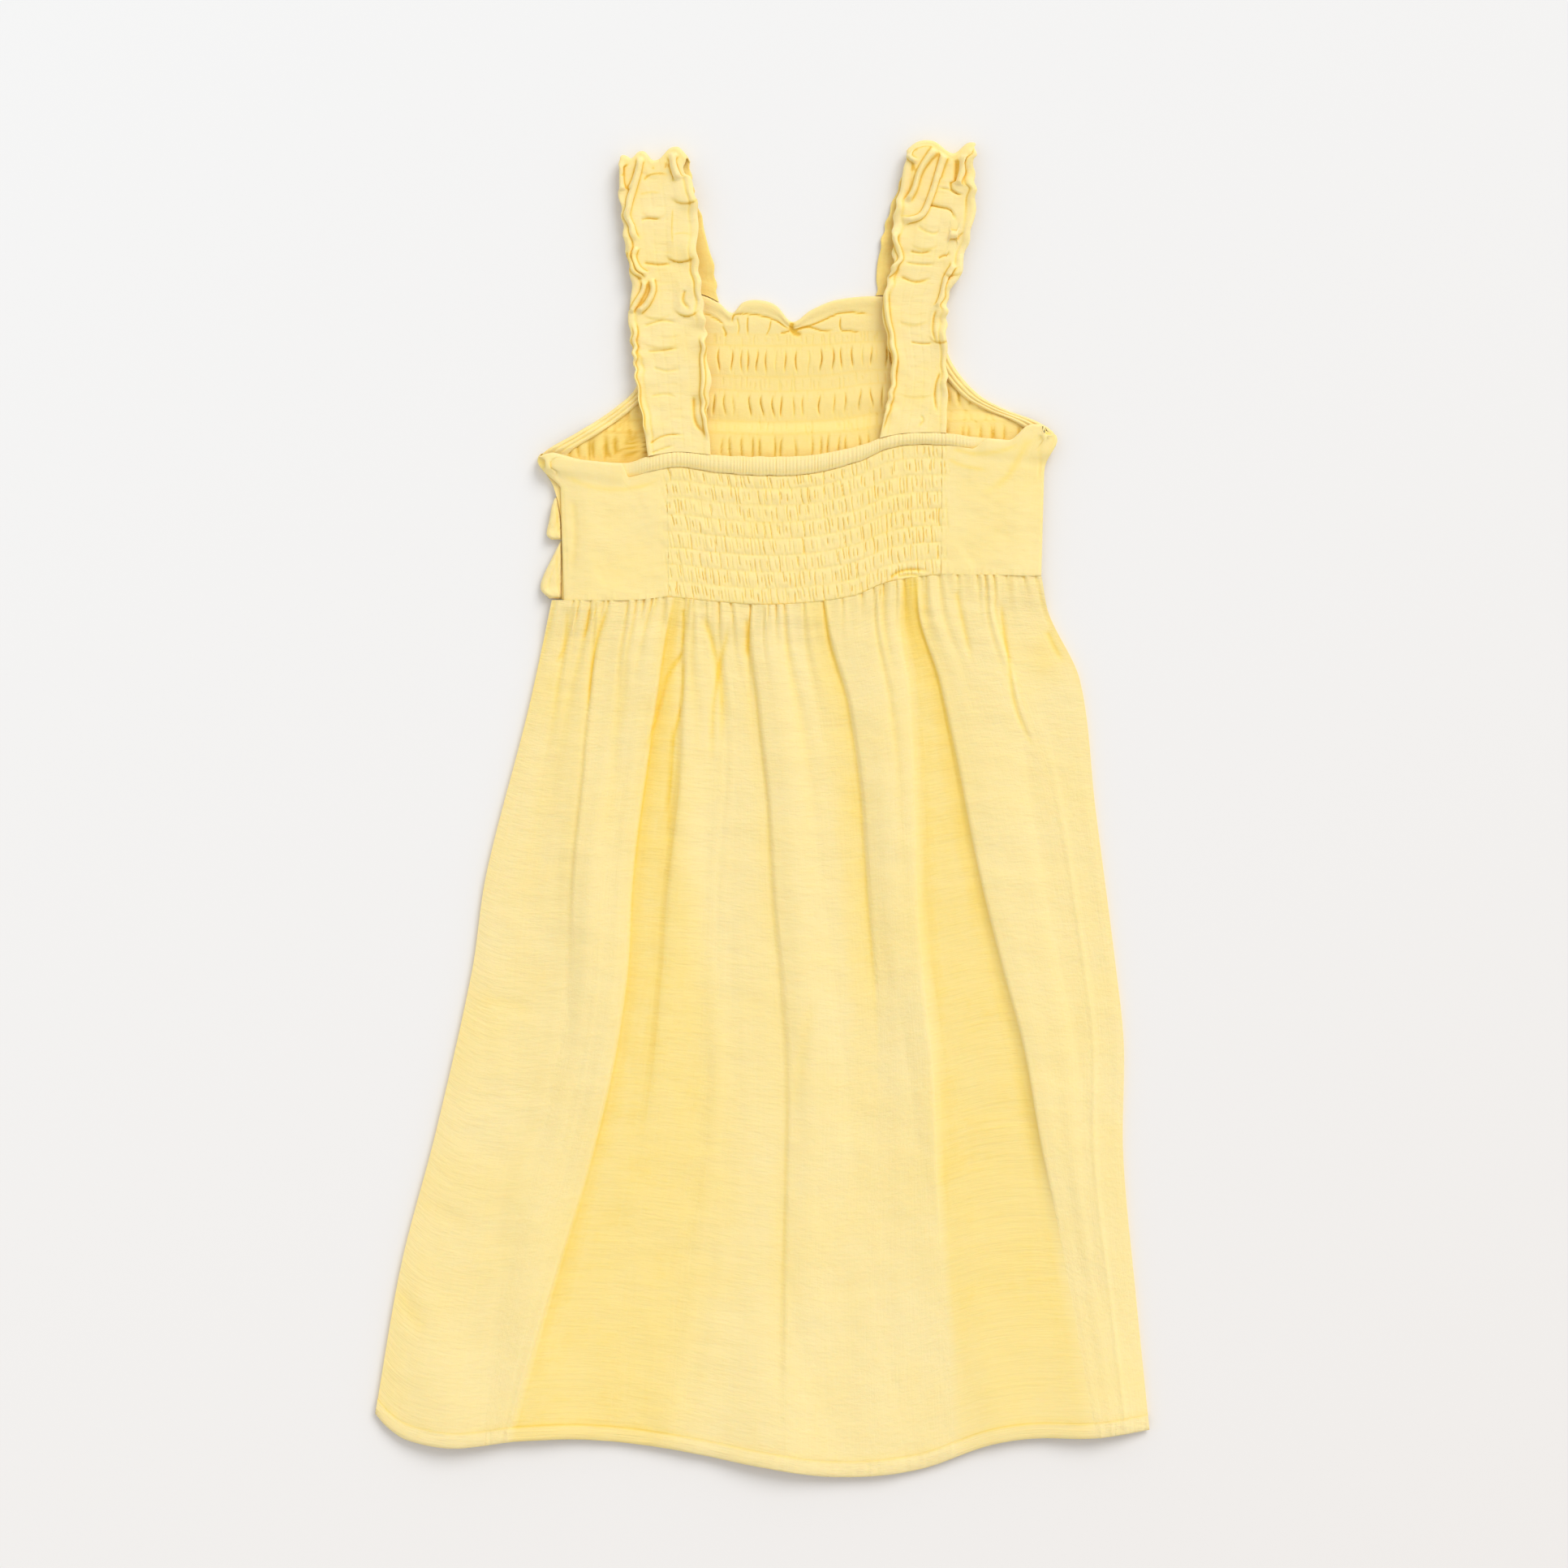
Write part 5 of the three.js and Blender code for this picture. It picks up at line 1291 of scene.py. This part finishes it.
piece = dress_in(back_bodice("back_centre_cloth", CENTRE_FROM, CENTRE_TO, 410, 118, (250, 88)),
                 ["bodice_back_centre"], gauze_bodice)
cut_from((150, 82))
for side, low, high in (("left", 0, CENTRE_FROM - GAP), ("right", CENTRE_TO + GAP, 1)):
    piece = dress_in(back_bodice("back_side_" + side + "_cloth", low, high, 100, 90, (60, 80)),
                     ["bodice_back_side_" + side], gauze_bodice)
    cut_from((56, 76))
for part in STRAPS:
    piece = dress_in(strap(part), ["strap_" + part["name"]], gauze_strap)
    cut_from((48, 250))

# The camera, straight above, on the photo's framing

PHOTO_PIXELS = 1932
MM_PER_PIXEL = 0.42
ORIGIN_PIXEL = (939.5, 995.5)
CAMERA_HEIGHT = 2200
MIDDLE_OF_CLOTH = 5
SENSOR = 36
middle = PHOTO_PIXELS / 2
bpy.ops.object.camera_add(
    location=((middle - ORIGIN_PIXEL[0]) * MM_PER_PIXEL * MM, (ORIGIN_PIXEL[1] - middle) * MM_PER_PIXEL * MM,
              CAMERA_HEIGHT * MM),
    rotation=(0, 0, 0))
camera = bpy.context.object
camera.name = "camera_above"
camera.data.sensor_width = SENSOR
camera.data.lens = SENSOR * (CAMERA_HEIGHT - MIDDLE_OF_CLOTH) / (PHOTO_PIXELS * MM_PER_PIXEL)
bpy.context.scene.camera = camera

# The floor and the light

LIGHT_TILT = (math.radians(-38), math.radians(30), 0)
SUN_STRENGTH, SUN_ANGLE = 1.5, math.radians(34)
ROOM_STRENGTH = 0.74
# The floor's colour at its lit and at its shaded end: painted falloff of the light
FLOOR_LIT, FLOOR_SHADED = (0.862, 0.862, 0.86, 1), (0.822, 0.795, 0.772, 1)

bpy.ops.mesh.primitive_plane_add(size=30, location=(0, 0, -0.0002))
floor = bpy.context.object
floor.name = "floor"
paper = Finish("pale_surface")
spot = paper.node("ShaderNodeTexCoord", {}, {}, output=3)
# Painted shade: the floor darkens along this line, towards the lower right
height = paper.node("ShaderNodeVectorMath", {"operation": "DOT_PRODUCT"},
                    {0: spot, 1: (0.35, -0.9, 0)}, output=1)
paper.coat({
    "Base Color": paper.blend((height + 0.5).held(), FLOOR_LIT, FLOOR_SHADED),
    "Roughness": 0.9,
    "Specular IOR Level": 0.1,
})
floor.data.materials.append(paper.material)

bpy.ops.object.light_add(type="SUN", location=(1, 1, 2), rotation=LIGHT_TILT)
sun = bpy.context.object
sun.name = "window_light"
sun.data.energy = SUN_STRENGTH
sun.data.angle = SUN_ANGLE
world = bpy.data.worlds.new("room")
bpy.context.scene.world = world
world.use_nodes = True
sky = world.node_tree.nodes["Background"]
sky.inputs["Color"].default_value = (1, 1, 1, 1)
sky.inputs["Strength"].default_value = ROOM_STRENGTH
bpy.context.scene.view_settings.view_transform = "Standard"
